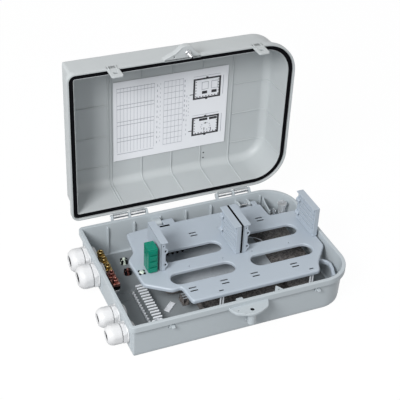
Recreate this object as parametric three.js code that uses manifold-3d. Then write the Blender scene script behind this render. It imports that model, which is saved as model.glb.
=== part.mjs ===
// Wall-mount fibre termination box, lying on its back with the lid open.
// Millimetres, +Z up. The long side runs along X with the cable glands on the -X wall,
// +Y points to the lid hinge, and z = 0 is the flat back of the base that goes on a wall.
import * as THREE from 'three';
import { mergeVertices } from 'three/addons/utils/BufferGeometryUtils.js';
import Module from 'manifold-3d';

const wasm = await Module();
wasm.setup();

// ---------------------------------------------------------------- driving dimensions
const GAP = 0.3;                        // clearance kept between touching pieces

const BASE = { halfX: 180, halfY: 125, height: 60, cornerLeft: 8, cornerRight: 50 };
const BASE_WALL = { insetFoot: 7.6, insetLow: 5.8, insetTop: 4.2, thick: 3, floor: 3, edge: 3 };
const RIM_BAND = 10;                    // height of the proud band round the top of the base

const OVERLAP = 5;                      // how far the lid rim stands out past the base rim
const LID = { bottom: 57.5, depth: 70, band: 10, wallInset: 7, draft: 2, fillet: 16, thick: 3 };
const LID_OPEN_DEG = 89.4;              // angle of the lid as it stands
const HINGE = { y: 136, z: LID.bottom, x: 91, length: 62, lug: 3.5, pinR: 1.5, barrelR: 3.6 };
const GASKET = { inset: 5, width: 3.8, low: 60.3, high: 63.2 };

const TONGUE = { x: 116, width: 18, tip: 33.5, thick: 2.8, holeZ: 44.5, eyeWide: 6.8, eyeHigh: 5.8 };
const NUB = { wide: 5, high: 4.2 };       // the snap nub that each tongue's eye drops over
const LOCK = { y: -137.5, tabTop: 53.5, tabThick: 4, boreR: 3, shankR: 2.3, bossR: 6, bossLow: 28 };

const GLAND_Z = 28;
const GLAND_FACE = -175.5;              // outer face of the gland pads on the left wall
const GLANDS = [
  { y: 86, scale: 1 },
  { y: 43.5, scale: 1 },
  { y: -54, scale: 0.81 },
  { y: -93, scale: 0.81 },
];

const PLATE = { top: 54, sheet: 2.2, edge: 6, edgeThick: 1.6, corner: 5 };
const PLATE_AXIS = { y: 107, z: 50 };
const PLATE_HINGES = [                   // x ranges of the plate's ears and the base's posts
  { side: 'left', ears: [[-67, -62], [-46.5, -28]], posts: [[-61.4, -47.1]] },
  { side: 'right', ears: [[76, 87], [110, 118.5]], posts: [[87.6, 91], [106, 109.4]] },
];
const PLATE_OUTLINE = [
  [-111, 93], [-115.5, 45], [-130.5, 28], [-128, -33], [-92, -59], [-77, -57],
  [-74, -93], [134, -93], [142, -73], [170, -38], [170, 62], [124, 62], [123, 97], [-73, 97],
];
const PLATE_SLOTS = [
  { x: -34.5, y: -37.5 }, { x: -34, y: 16.5 }, { x: 96.5, y: -37.5 }, { x: 97, y: 17 },
];
const SLOT = { length: 103, width: 27, lip: 5, lipThick: 1.4 };
const TIE_PAIRS = [[-63, -68], [-12.7, -68], [37, -68], [103, -68], [-12.7, 55.8], [103, 57]];
const TIE_SLOT = { length: 12, width: 2, pitch: 7 };

const BRACKET = { front: -14, back: 43, height: 52, width: 12, wall: 2.2, shelf: 2.2, panel: 7.6 };
const LOBE = { radius: 5.6, x: 6.8, screwX: 8.4, screwR: 1.7, bossR: 3.4, levels: [0.2, 0.68] };
const BRACKETS = [                      // x of the outer wall; a turned one faces the bay on its -X side
  { x: -94.5, turned: false },
  { x: 37, turned: true },
  { x: 39.4, turned: false },
  { x: 170.3, turned: true },
];

const ADAPTER = { x: -105, width: 14.8, depth: 21, height: 10, pitch: 10.8, front: -12.5 };
const ADAPTER_COUNT = 4;

const COMB = { x0: -132, x1: -112, y0: -84, y1: 16, base: 3.6, top: 22, fins: 13 };
const CLAMP = { x: -157.5, y0: 9, pitch: 17.8, count: 5, barTop: 25, halfX: 6, halfY: 7.4 };
const LATCHES = [-25.5, 123];           // x of the snap posts under the front of the plate
const BACK_RIBS = { count: 7, x0: -133, pitch: 44.3 };

// ---------------------------------------------------------------- materials
const finish = (color, roughness, metalness = 0) => ({ color, roughness, metalness });
const ABS_GREY = finish(0xc6ccce, 0.45);
const ABS_DARK = finish(0x33363a, 0.5);
const NYLON = finish(0xececec, 0.4);
const RUBBER = finish(0x141414, 0.8);
const STEEL = finish(0xb9bcc0, 0.3, 1);
const BRASS = finish(0xb9973f, 0.35, 1);
const COPPER = finish(0xb5614a, 0.35, 1);
const GREEN = finish(0x0f8f63, 0.4);
const CLEAR = finish(0xd9dee2, 0.2);
const PAPER = finish(0xf4f4f6, 0.8);

// ---------------------------------------------------------------- solids
function solid(geometry) {
  geometry.deleteAttribute('normal');
  geometry.deleteAttribute('uv');
  const merged = mergeVertices(geometry, 1e-4);
  const vertProperties = new Float32Array(merged.attributes.position.array);
  const triVerts = new Uint32Array(merged.index.array);
  return new wasm.Manifold(new wasm.Mesh({ numProp: 3, vertProperties, triVerts }));
}

function toGeometry(body) {
  const mesh = body.getMesh();
  const geometry = new THREE.BufferGeometry();
  geometry.setAttribute('position', new THREE.BufferAttribute(mesh.vertProperties, 3));
  geometry.setIndex(new THREE.BufferAttribute(mesh.triVerts, 1));
  geometry.computeVertexNormals();
  return geometry;
}

function box(x0, x1, y0, y1, z0, z1) {
  const geometry = new THREE.BoxGeometry(x1 - x0, y1 - y0, z1 - z0);
  geometry.translate((x0 + x1) / 2, (y0 + y1) / 2, (z0 + z1) / 2);
  return solid(geometry);
}

function prism(shape, z0, z1, curveSegments = 6) {
  const geometry = new THREE.ExtrudeGeometry(shape, { depth: z1 - z0, bevelEnabled: false, curveSegments });
  geometry.translate(0, 0, z0);
  return solid(geometry);
}

// A round bar of radius r from a to b along one axis ('x', 'y' or 'z'), centred on the other two.
function rod(axis, r, a, b, centre, sides = 16) {
  const geometry = new THREE.CylinderGeometry(r, r, b - a, sides);
  const middle = (a + b) / 2;
  if (axis === 'x') {
    geometry.rotateZ(-Math.PI / 2);
    geometry.translate(middle, centre[0], centre[1]);
  } else if (axis === 'y') {
    geometry.translate(centre[0], middle, centre[1]);
  } else {
    geometry.rotateX(Math.PI / 2);
    geometry.translate(centre[0], centre[1], middle);
  }
  return solid(geometry);
}

// A turned solid. The profile is a closed list of [radius, height], turned about +Z.
function turned(profile, sides = 20) {
  const points = profile.map(([r, h]) => new THREE.Vector2(r, h));
  points.push(points[0].clone());
  const geometry = new THREE.LatheGeometry(points, sides);
  geometry.rotateX(Math.PI / 2);
  return solid(geometry);
}

function union(bodies) {
  return bodies.reduce((sum, body) => sum.add(body));
}

function cut(body, tools) {
  return tools.length ? body.subtract(union(tools)) : body;
}

// ---------------------------------------------------------------- outlines
function roundedBox(halfX, halfY, rLeft, rRight) {
  const shape = new THREE.Shape();
  shape.moveTo(-halfX + rLeft, -halfY);
  shape.lineTo(halfX - rRight, -halfY);
  shape.absarc(halfX - rRight, -halfY + rRight, rRight, -Math.PI / 2, 0);
  shape.lineTo(halfX, halfY - rRight);
  shape.absarc(halfX - rRight, halfY - rRight, rRight, 0, Math.PI / 2);
  shape.lineTo(-halfX + rLeft, halfY);
  shape.absarc(-halfX + rLeft, halfY - rLeft, rLeft, Math.PI / 2, Math.PI);
  shape.lineTo(-halfX, -halfY + rLeft);
  shape.absarc(-halfX + rLeft, -halfY + rLeft, rLeft, Math.PI, 1.5 * Math.PI);
  return shape;
}

function roundedPolygon(points, radius) {
  const shape = new THREE.Shape();
  points.forEach(([x, y], i) => {
    const corner = new THREE.Vector2(x, y);
    const before = new THREE.Vector2(...points[(i + points.length - 1) % points.length]);
    const after = new THREE.Vector2(...points[(i + 1) % points.length]);
    const reachIn = Math.min(radius, corner.distanceTo(before) / 2.2);
    const reachOut = Math.min(radius, corner.distanceTo(after) / 2.2);
    const start = corner.clone().add(before.sub(corner).setLength(reachIn));
    const end = corner.clone().add(after.sub(corner).setLength(reachOut));
    if (i === 0) {
      shape.moveTo(start.x, start.y);
    } else {
      shape.lineTo(start.x, start.y);
    }
    shape.quadraticCurveTo(x, y, end.x, end.y);
  });
  shape.closePath();
  return shape;
}

// The outline moved inwards by d, each side parallel to itself. Points run clockwise or not.
function insetPolygon(points, d) {
  const turn = THREE.ShapeUtils.area(points.map(([x, y]) => new THREE.Vector2(x, y))) > 0 ? 1 : -1;
  return points.map(([x, y], i) => {
    const [px, py] = points[(i + points.length - 1) % points.length];
    const [nx, ny] = points[(i + 1) % points.length];
    const a = new THREE.Vector2(x - px, y - py).normalize();
    const b = new THREE.Vector2(nx - x, ny - y).normalize();
    const normalA = new THREE.Vector2(-a.y, a.x).multiplyScalar(turn);
    const normalB = new THREE.Vector2(-b.y, b.x).multiplyScalar(turn);
    const middle = normalA.clone().add(normalB);
    const reach = d / (1 + normalA.dot(normalB));
    return [x + middle.x * reach, y + middle.y * reach];
  });
}

function racetrack(x, y, length, width) {
  const shape = new THREE.Shape();
  const r = width / 2;
  const half = length / 2 - r;
  shape.absarc(x + half, y, r, -Math.PI / 2, Math.PI / 2);
  shape.absarc(x - half, y, r, Math.PI / 2, 1.5 * Math.PI);
  shape.closePath();
  return shape;
}

// A solid of the rounded outline whose sides follow stations of { z, inset }, bottom to top.
function lofted(outline, stations, curveSegments = 8) {
  const steps = stations.length - 1;
  const shape = roundedBox(outline.halfX, outline.halfY, outline.cornerLeft, outline.cornerRight);
  const settings = { depth: steps, steps, bevelEnabled: false, curveSegments };
  const geometry = new THREE.ExtrudeGeometry(shape, settings);
  const position = geometry.attributes.position;
  for (let i = 0; i < position.count; i += 1) {
    const { z, inset } = stations[Math.round(position.getZ(i))];
    position.setXYZ(
      i,
      position.getX(i) * (1 - inset / outline.halfX),
      position.getY(i) * (1 - inset / outline.halfY),
      z,
    );
  }
  return solid(geometry);
}

// ---------------------------------------------------------------- placing
const box3d = new THREE.Group();

function addPiece(name, body, material, parent = box3d) {
  const mesh = new THREE.Mesh(toGeometry(body), new THREE.MeshStandardMaterial(material));
  mesh.name = name;
  parent.add(mesh);
  return mesh;
}

// The lid and what rides on it are drawn closed, then turned open about the hinge axis.
const lidHinge = new THREE.Group();
lidHinge.position.set(0, HINGE.y, HINGE.z);
lidHinge.rotation.x = -THREE.MathUtils.degToRad(LID_OPEN_DEG);
box3d.add(lidHinge);
const lidGroup = new THREE.Group();
lidGroup.position.set(0, -HINGE.y, -HINGE.z);
lidHinge.add(lidGroup);

// ---------------------------------------------------------------- base tray
function innerWallX() {
  return BASE.halfX - BASE_WALL.insetTop - BASE_WALL.thick;
}

function trayShell() {
  const outside = lofted(BASE, [
    { z: 0, inset: BASE_WALL.insetFoot },
    { z: BASE_WALL.edge, inset: BASE_WALL.insetLow },
    { z: BASE.height - RIM_BAND, inset: BASE_WALL.insetTop },
  ]);
  const band = lofted(BASE, [
    { z: BASE.height - RIM_BAND - 0.5, inset: 0.6 },
    { z: BASE.height - RIM_BAND + 1, inset: 0 },
    { z: BASE.height, inset: 0 },
  ]);
  const hollow = lofted(BASE, [
    { z: BASE_WALL.floor, inset: BASE_WALL.insetLow + BASE_WALL.thick },
    { z: BASE.height + 1, inset: BASE_WALL.insetTop + BASE_WALL.thick - 0.4 },
  ]);
  return { outside: outside.add(band), hollow };
}

function backRibs() {
  const ribs = [];
  for (let i = 0; i < BACK_RIBS.count; i += 1) {
    const x = BACK_RIBS.x0 + i * BACK_RIBS.pitch;
    ribs.push(box(x - 1, x + 1, 114, 118.5, BASE_WALL.floor - 1, BASE.height - RIM_BAND));
  }
  return ribs;
}

function hingeLugs() {
  const lugs = [];
  for (const side of [-1, 1]) {
    for (const place of [-1, 0, 1]) {
      const x = side * HINGE.x + place * (HINGE.length - HINGE.lug) / 2;
      const ends = [x - HINGE.lug / 2, x + HINGE.lug / 2];
      lugs.push(box(...ends, 119, HINGE.y, 46, 56.9));
      lugs.push(rod('x', HINGE.barrelR + 0.6, ...ends, [HINGE.y, HINGE.z]));
    }
  }
  return lugs;
}

function lockTab() {
  const outline = [[-31, -119], [-31, -127], [-25, -139], [-10, -146], [0, -148], [10, -146],
    [25, -139], [31, -127], [31, -119]];
  const low = LOCK.tabTop - LOCK.tabThick;
  const tab = prism(roundedPolygon(outline, 4), low, LOCK.tabTop, 3);
  const boss = rod('z', LOCK.bossR, LOCK.bossLow, low + 1, [0, LOCK.y]);
  const webShape = new THREE.Shape([
    new THREE.Vector2(-119, low + 1), new THREE.Vector2(LOCK.y, low + 1),
    new THREE.Vector2(LOCK.y, LOCK.bossLow + 2), new THREE.Vector2(-119, 16),
  ]);
  const webGeometry = new THREE.ExtrudeGeometry(webShape, { depth: 5, bevelEnabled: false });
  webGeometry.applyMatrix4(new THREE.Matrix4().makeBasis(
    new THREE.Vector3(0, 1, 0), new THREE.Vector3(0, 0, 1), new THREE.Vector3(1, 0, 0),
  ));
  webGeometry.translate(-2.5, 0, 0);
  return union([tab, boss, solid(webGeometry)]);
}

function snapNubs() {
  return [-1, 1].map((side) => {
    const x = side * TONGUE.x;
    const level = [TONGUE.holeZ - NUB.high / 2, TONGUE.holeZ + NUB.high / 2];
    return box(x - NUB.wide / 2, x + NUB.wide / 2, -126.7, -119, ...level);
  });
}

function plateHingePosts() {
  return PLATE_HINGES.flatMap(({ posts }) => posts).map(
    ([x0, x1]) => box(x0, x1, 101.5, 118.5, BASE_WALL.floor - 1, 55),
  );
}

function plateHingeSpan({ ears, posts }) {
  const ends = [...ears, ...posts].flat();
  return [Math.min(...ends), Math.max(...ends)];
}

function plateHingeBores() {
  return PLATE_HINGES.map((hinge) => {
    const [x0, x1] = plateHingeSpan(hinge);
    return rod('x', HINGE.pinR + GAP, x0 - 2, x1 + 2, [PLATE_AXIS.y, PLATE_AXIS.z], 12);
  });
}

function baseTray() {
  const { outside, hollow } = trayShell();
  const wallPads = [
    box(GLAND_FACE, -171.6, 18, 112, 7, 51),
    box(GLAND_FACE, -171.6, -113, -34, 7, 51),
  ];
  const cornerLug = prism(roundedPolygon([[45, -118], [57, -97], [70, -118]], 3), 47, 50, 3);
  const floorPost = box(-8, 2.5, -103, -98, BASE_WALL.floor - 1, 44);
  const tray = union([
    cut(outside, [hollow]), ...wallPads, ...backRibs(), ...hingeLugs(), lockTab(),
    ...snapNubs(), ...plateHingePosts(), cornerLug, floorPost,
  ]);
  const holes = GLANDS.map(({ y, scale }) => rod('x', 13.8 * scale, -182, -165, [y, GLAND_Z], 20));
  for (const side of [-1, 1]) {
    const ends = [side * HINGE.x - 40, side * HINGE.x + 40];
    holes.push(rod('x', HINGE.pinR + GAP, ...ends, [HINGE.y, HINGE.z], 12));
  }
  holes.push(...plateHingeBores());
  holes.push(rod('z', LOCK.boreR, LOCK.bossLow + 3, 60, [0, LOCK.y]));
  holes.push(rod('z', 1.6, 46, 51, [58, -107], 12));
  for (const [x, y] of [[-150, -104], [-150, 104], [140, -88], [140, 88]]) {
    holes.push(rod('z', 2.6, -1, 6, [x, y], 12));
  }
  return cut(tray, holes);
}

// ---------------------------------------------------------------- lid
// The outline of the base rim, grown all round.
function grownOutline(margin) {
  return {
    halfX: BASE.halfX + margin,
    halfY: BASE.halfY + margin,
    cornerLeft: BASE.cornerLeft + margin,
    cornerRight: BASE.cornerRight + margin,
  };
}

const LID_OUTLINE = grownOutline(OVERLAP);
const RECESS_OUTLINE = grownOutline(0.6);

function domeStations(low, inset, top, radius) {
  const shoulder = top - radius;
  const slope = LID.draft / LID.depth;
  const stations = [{ z: low, inset }, { z: shoulder, inset: inset + (shoulder - low) * slope }];
  for (const degrees of [30, 60, 90]) {
    const angle = THREE.MathUtils.degToRad(degrees);
    stations.push({
      z: shoulder + radius * Math.sin(angle),
      inset: inset + (shoulder - low) * slope + radius * (1 - Math.cos(angle)),
    });
  }
  return stations;
}

function lidShellBody() {
  const bandTop = LID.bottom + LID.band;
  const band = lofted(LID_OUTLINE, [
    { z: LID.bottom, inset: 0 }, { z: bandTop - 2, inset: 0 }, { z: bandTop, inset: 1.6 },
  ]);
  const top = LID.bottom + LID.depth;
  const dome = lofted(LID_OUTLINE, domeStations(bandTop - 1, LID.wallInset, top, LID.fillet));
  const innerInset = LID.wallInset + LID.thick;
  const hollow = lofted(
    LID_OUTLINE,
    domeStations(LID.bottom - 1, innerInset, top - LID.thick, LID.fillet - LID.thick),
  );
  const rimRecess = lofted(RECESS_OUTLINE, [
    { z: LID.bottom - 1, inset: 0 }, { z: 60.4, inset: 0 },
  ]);
  const channelOut = lofted(RECESS_OUTLINE, [
    { z: 60, inset: 0 }, { z: GASKET.high + GAP, inset: 0 },
  ]);
  const channelIn = lofted(LID_OUTLINE, [
    { z: 59, inset: GASKET.inset + GASKET.width + GAP },
    { z: 65, inset: GASKET.inset + GASKET.width + GAP },
  ]);
  return cut(band.add(dome), [hollow, rimRecess, channelOut.subtract(channelIn)]);
}

function lidRibs() {
  const ceiling = LID.bottom + LID.depth - LID.thick;
  return [-98, -46, 5, 57, 109].map((x) => box(x - 1.2, x + 1.2, -100, 100, ceiling - 1.2, ceiling + 1));
}

function lidBarrels() {
  const parts = [];
  const span = (HINGE.length - 3 * HINGE.lug) / 2 - 1.2;
  for (const side of [-1, 1]) {
    for (const half of [-1, 1]) {
      const x = side * HINGE.x + half * (HINGE.length - HINGE.lug) / 4;
      parts.push(rod('x', HINGE.barrelR, x - span / 2, x + span / 2, [HINGE.y, HINGE.z]));
      parts.push(box(x - span / 2, x + span / 2, 128.5, HINGE.y, LID.bottom, LID.bottom + 3.4));
    }
  }
  return parts;
}

function lidTongues() {
  const parts = [];
  const outer = -LID_OUTLINE.halfY;
  for (const side of [-1, 1]) {
    const x = side * TONGUE.x;
    const blade = box(
      x - TONGUE.width / 2, x + TONGUE.width / 2, outer, outer + TONGUE.thick, TONGUE.tip, LID.bottom + 4,
    );
    const eyeEnds = [x - TONGUE.eyeWide / 2, x + TONGUE.eyeWide / 2];
    const eyeLevel = [TONGUE.holeZ - TONGUE.eyeHigh / 2, TONGUE.holeZ + TONGUE.eyeHigh / 2];
    parts.push(blade.subtract(box(...eyeEnds, outer - 1, outer + 4, ...eyeLevel)));
  }
  return parts;
}

function lidLockTab() {
  const outline = [[-38, -127], [-38, -130], [-18, -139], [-8, -148.5], [8, -148.5], [18, -139],
    [38, -130], [38, -127]];
  return prism(roundedPolygon(outline, 5), LID.bottom, LID.bottom + LID.band, 3);
}

function lidShell() {
  const body = union([lidShellBody(), ...lidRibs(), ...lidBarrels(), ...lidTongues(), lidLockTab()]);
  const holes = [rod('z', LOCK.shankR + 0.5, 50, 70, [0, LOCK.y], 16)];
  holes.push(rod('z', 6, LID.bottom + 4, 70, [0, LOCK.y], 16));
  for (const side of [-1, 1]) {
    const ends = [side * HINGE.x - 35, side * HINGE.x + 35];
    holes.push(rod('x', HINGE.pinR + GAP, ...ends, [HINGE.y, HINGE.z], 12));
  }
  return cut(body, holes);
}

function lidGasket() {
  const inner = GASKET.inset + GASKET.width;
  const outerBody = lofted(LID_OUTLINE, [
    { z: GASKET.low, inset: GASKET.inset - 0.2 }, { z: GASKET.high, inset: GASKET.inset - 0.2 },
  ]);
  const innerBody = lofted(LID_OUTLINE, [
    { z: GASKET.low - 1, inset: inner }, { z: GASKET.high + 1, inset: inner },
  ]);
  return outerBody.subtract(innerBody);
}

function lidLabel() {
  const ceiling = LID.bottom + LID.depth - LID.thick - 1.2 - GAP;
  return box(-94.5, 100.5, -68, 76, ceiling - 0.3, ceiling);
}

function lockScrew() {
  const seat = LID.bottom + 4 + GAP;
  const head = turned([[0, seat], [5, seat], [5, seat + 4.5], [3.2, seat + 6], [0, seat + 6]], 18);
  const shank = rod('z', LOCK.shankR, 40, seat + 1, [0, 0], 12);
  const collar = rod('z', 4.6, LID.bottom - 3.2, LID.bottom - GAP, [0, 0], 18);
  return union([head, shank, collar]).translate([0, LOCK.y, 0]);
}

function hingePin(x0, x1, axis) {
  return rod('x', HINGE.pinR, x0, x1, [axis.y, axis.z], 12);
}

// ---------------------------------------------------------------- glands
// Gland pieces are turned about the way out of the box, from the wall face at height 0.
function placeGland(body, y) {
  return body.rotate([0, -90, 0]).translate([GLAND_FACE, y, GLAND_Z]);
}

function hexagon(radius, low, high) {
  const geometry = new THREE.CylinderGeometry(radius, radius, high - low, 6);
  geometry.rotateY(Math.PI / 6);
  geometry.rotateX(Math.PI / 2);
  geometry.translate(0, 0, (low + high) / 2);
  return solid(geometry);
}

function glandBody(scale) {
  const flange = turned([[0, GAP], [20 * scale, GAP], [20 * scale, 2.2], [0, 2.2]], 24);
  const hex = hexagon(20.5 * scale, 1.5, 8.6);
  const thread = turned([[0, -12], [13.3 * scale, -12], [13.3 * scale, 1], [13 * scale, 6],
    [13 * scale, 16], [0, 16]], 20);
  const bore = turned([[0, -13], [9.4 * scale, -13], [9.4 * scale, 17], [0, 17]], 16);
  return union([flange, hex, thread]).subtract(bore);
}

function glandNut(scale) {
  const turnedOutside = turned([[0, 9.4], [18.4 * scale, 9.4], [19 * scale, 10.6], [18.8 * scale, 22],
    [17 * scale, 26.4], [13.6 * scale, 29.6], [10.6 * scale, 30.5], [0, 30.5]], 24);
  const inside = turned([[0, 9], [13.4 * scale, 9], [13.4 * scale, 21.5], [9.2 * scale, 27.5],
    [9.2 * scale, 31], [0, 31]], 20);
  return turnedOutside.intersect(hexagon(21 * scale, 9, 31)).subtract(inside);
}

function glandSeal(scale) {
  return turned([[5.5 * scale, 16.4], [12.9 * scale, 16.4], [12.9 * scale, 21], [8.7 * scale, 27],
    [8.7 * scale, 28.5], [5.5 * scale, 28.5]], 16);
}

function glandLocknut(scale) {
  const nut = hexagon(17.8 * scale, -10.3, -5.3);
  return nut.subtract(turned([[0, -11], [13.7 * scale, -11], [13.7 * scale, -5], [0, -5]], 20));
}

// ---------------------------------------------------------------- cable fixing inside the base
const FLOOR = BASE_WALL.floor + GAP;

function clampBar() {
  const { x, y0, pitch, count, barTop } = CLAMP;
  const y1 = y0 + pitch * (count - 1);
  const strip = box(x - 4.5, x + 4.5, y0 - 10, y1 + 10, barTop - 3, barTop);
  const legs = [y0 - 10, y1 + 5].map((y) => box(x - 3, x + 3, y, y + 5, FLOOR, barTop - 2));
  return union([strip, ...legs]);
}

// One clamp: a square block on the bar with a round collar on top, open for the clamping screw.
function clampStud(index) {
  const { x, y0, pitch, barTop, halfX, halfY } = CLAMP;
  const y = y0 + pitch * index;
  const low = barTop + GAP;
  const block = box(x - halfX, x + halfX, y - halfY, y + halfY, low, low + 10);
  const collar = rod('z', 4.8, low + 9, low + 15, [x, y], 16);
  return block.add(collar).subtract(rod('z', 2.8, low + 6, low + 16, [x, y], 12));
}

function earthStud(x, y) {
  return turned([[0, FLOOR], [6, FLOOR], [6, 5], [4.6, 5], [4.6, 8], [2.4, 8], [2.4, 14],
    [0, 14]], 12).translate([x, y, 0]);
}

function combScrewPlaces() {
  const x = (COMB.x0 + COMB.x1) / 2;
  return [[x, COMB.y0 + 5], [x, COMB.y1 - 5]];
}

function cableComb() {
  const strip = box(COMB.x0, COMB.x1, COMB.y0, COMB.y1, FLOOR, FLOOR + COMB.base);
  const fins = [];
  const first = COMB.y0 + 12;
  const pitch = (COMB.y1 - 12 - first) / (COMB.fins - 1);
  for (let i = 0; i < COMB.fins; i += 1) {
    const y = first + pitch * i;
    fins.push(box(COMB.x0 + 1, COMB.x1 - 1, y - 0.9, y + 0.9, FLOOR + 1, COMB.top));
  }
  const holes = combScrewPlaces().map((place) => rod('z', 2.2, 0, 12, place, 12));
  return cut(union([strip, ...fins]), holes);
}

function panScrew([x, y], seat) {
  return turned([[0, seat - 3], [1.8, seat - 3], [1.8, seat + GAP], [3.9, seat + GAP],
    [3.9, seat + 1.8], [2.8, seat + 2.8], [0, seat + 2.8]], 14).translate([x, y, 0]);
}

// ---------------------------------------------------------------- swing plate
function plateSheet() {
  const low = PLATE.top - PLATE.edge;
  const outer = prism(roundedPolygon(PLATE_OUTLINE, PLATE.corner), low, PLATE.top, 3);
  const inner = insetPolygon(PLATE_OUTLINE, PLATE.edgeThick);
  const under = prism(roundedPolygon(inner, PLATE.corner), low - 1, PLATE.top - PLATE.sheet, 3);
  return outer.subtract(under);
}

function plateEars() {
  return PLATE_HINGES.flatMap(({ ears }) => ears).map(([x0, x1]) => {
    const barrel = rod('x', 3.2, x0, x1, [PLATE_AXIS.y, PLATE_AXIS.z]);
    return barrel.add(box(x0, x1, 95.6, PLATE_AXIS.y, PLATE_AXIS.z, PLATE_AXIS.z + 3.2));
  });
}

function tieSlots() {
  const slots = [];
  for (const [x, y] of TIE_PAIRS) {
    for (const side of [-1, 1]) {
      const middle = y + side * TIE_SLOT.pitch / 2;
      slots.push(box(x - TIE_SLOT.length / 2, x + TIE_SLOT.length / 2,
        middle - TIE_SLOT.width / 2, middle + TIE_SLOT.width / 2, 50, 56));
    }
  }
  for (const x of LATCHES) {
    slots.push(box(x - 3.6, x + 3.6, -86, -83.6, 50, 56));
  }
  slots.push(box(-55, -38.5, 90.6, 95.2, 50, 56));
  return slots;
}

function swingPlate() {
  const lipLow = PLATE.top - SLOT.lip;
  const lips = PLATE_SLOTS.map(({ x, y }) => prism(
    racetrack(x, y, SLOT.length + 2 * SLOT.lipThick, SLOT.width + 2 * SLOT.lipThick),
    lipLow, PLATE.top, 6,
  ));
  const openings = PLATE_SLOTS.map(({ x, y }) => prism(
    racetrack(x, y, SLOT.length, SLOT.width), lipLow - 2, PLATE.top + 1, 6,
  ));
  const body = union([plateSheet(), ...lips, ...plateEars()]);
  const screwHole = rod('z', 2.1, 48, 56, [-121, -7], 12);
  return cut(body, [...openings, ...tieSlots(), ...plateHingeBores(), screwHole]);
}

// ---------------------------------------------------------------- module brackets
// A bracket is a hollow post drawn with its outer wall at x = 0 and its bay on +X. Its lobed face,
// which the module screws to, is at the front. A turned one is the same piece the other way round.
function bracketBody() {
  const { front, back, height, width, wall, shelf, panel } = BRACKET;
  const low = PLATE.top + GAP;
  const high = PLATE.top + height;
  const middle = (low + high) / 2;
  const parts = [
    box(0, wall, front, back, low, high),
    box(0, width, front, back, high - shelf, high),
    box(0, panel + 1, front, back, low, low + shelf),
    box(0, panel, front, back, middle - 0.9, middle + 0.9),
    box(panel - 1.8, panel, front, back, low, high),
    box(0, panel, back - 2, back, low, high),
    box(0, panel, front, front + 2, low, high),
  ];
  const holes = [box(wall + 0.8, panel - 2.4, front + 8, back - 8, low - 1, middle + 1)];
  for (const level of LOBE.levels) {
    const z = low + height * level;
    parts.push(rod('y', LOBE.radius, front, front + 2, [LOBE.x, z], 16));
    parts.push(rod('y', LOBE.bossR, front + 1, front + 7, [LOBE.screwX, z], 12));
    holes.push(rod('y', LOBE.screwR, front - 1, front + 8, [LOBE.screwX, z], 10));
  }
  return cut(union(parts), holes);
}

function moduleBracket({ x, turned }) {
  const body = bracketBody();
  if (!turned) {
    return body.translate([x, 0, 0]);
  }
  return body.rotate([0, 0, 180]).translate([x, BRACKET.front + BRACKET.back, 0]);
}

// ---------------------------------------------------------------- adapters
function adapterBase(index) {
  return PLATE.top + 0.6 + index * ADAPTER.pitch;
}

function adapter(index) {
  const { x, width, depth, height, front } = ADAPTER;
  const z = adapterBase(index);
  const body = box(x - width / 2, x + width / 2, front, front + depth, z, z + height);
  const half = width / 2 + 0.5;
  const flange = box(x - half, x + half, front + 9, front + 11.5, z, z + height + 0.5);
  const ports = [[front - 1, front + 8], [front + depth - 8, front + depth + 1]].map(
    ([y0, y1]) => box(x - 5.2, x + 5.2, y0, y1, z + 1.6, z + height - 1.6),
  );
  return cut(body.add(flange), ports);
}

function adapterCap(index) {
  const { x, height, front } = ADAPTER;
  const z = adapterBase(index);
  const plug = box(x - 4.8, x + 4.8, front - 1.4, front + 7, z + 2, z + height - 2);
  const face = box(x - 6.2, x + 6.2, front - 1.8, front - GAP, z + 0.9, z + height - 0.9);
  return plug.add(face);
}

// ---------------------------------------------------------------- fibre management under the plate
const TRAY = { low: 8, high: 20, wall: 2, corner: 10 };
const TRAY_OUTLINE = [
  [-50, -84], [134, -84], [134, -46], [156, -46], [156, 69], [-84, 69], [-84, -18], [-50, -18],
];
const TRAY_FEET = [[-40, -70], [120, -70], [-70, 55], [142, 55]];
const TRAY_HUB = [-40, 25];
const SPLICE_BLOCK = { x: 25, y: 20, width: 60, depth: 24, slots: 8, pitch: 7 };

function trayPrism(margin, z0, z1) {
  return prism(roundedPolygon(insetPolygon(TRAY_OUTLINE, margin), TRAY.corner), z0, z1, 3);
}

function spliceTray() {
  const hollow = trayPrism(TRAY.wall, TRAY.low + 2, TRAY.high + 1);
  const feet = TRAY_FEET.map((place) => rod('z', 5, FLOOR, TRAY.low + 1, place, 12));
  const hub = rod('z', 22, TRAY.low + 1, TRAY.high - 2, TRAY_HUB, 20)
    .subtract(rod('z', 20, TRAY.low + 2, TRAY.high, TRAY_HUB, 20));
  return union([trayPrism(0, TRAY.low, TRAY.high).subtract(hollow), ...feet, hub]);
}

function spliceHolder() {
  const { x, y, width, depth, slots, pitch } = SPLICE_BLOCK;
  const block = box(x, x + width, y, y + depth, TRAY.low + 2 + GAP, TRAY.low + 9);
  const cuts = [];
  for (let i = 0; i < slots; i += 1) {
    const middle = x + 5.5 + i * pitch;
    cuts.push(box(middle - 1.6, middle + 1.6, y - 1, y + depth + 1, TRAY.low + 4.5, TRAY.low + 10));
  }
  return cut(block, cuts);
}

function spliceCover() {
  return trayPrism(0.5, TRAY.high + GAP, TRAY.high + 1.6);
}

function fibreClip() {
  const strip = box(-11, 11, -4.5, 4.5, FLOOR, FLOOR + 2.4);
  return strip.rotate([0, 0, 43]).translate([-88, -40, 0]);
}

function fibreRing(x, y, z, radius) {
  const outside = rod('z', radius, z, z + 5, [x, y], 24);
  const ring = outside.subtract(rod('z', radius - 2, z - 1, z + 6, [x, y], 24));
  return ring.add(box(x - 2, x + 2, y + radius - 3, y + radius + 0.5, FLOOR, z + 1));
}

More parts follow.
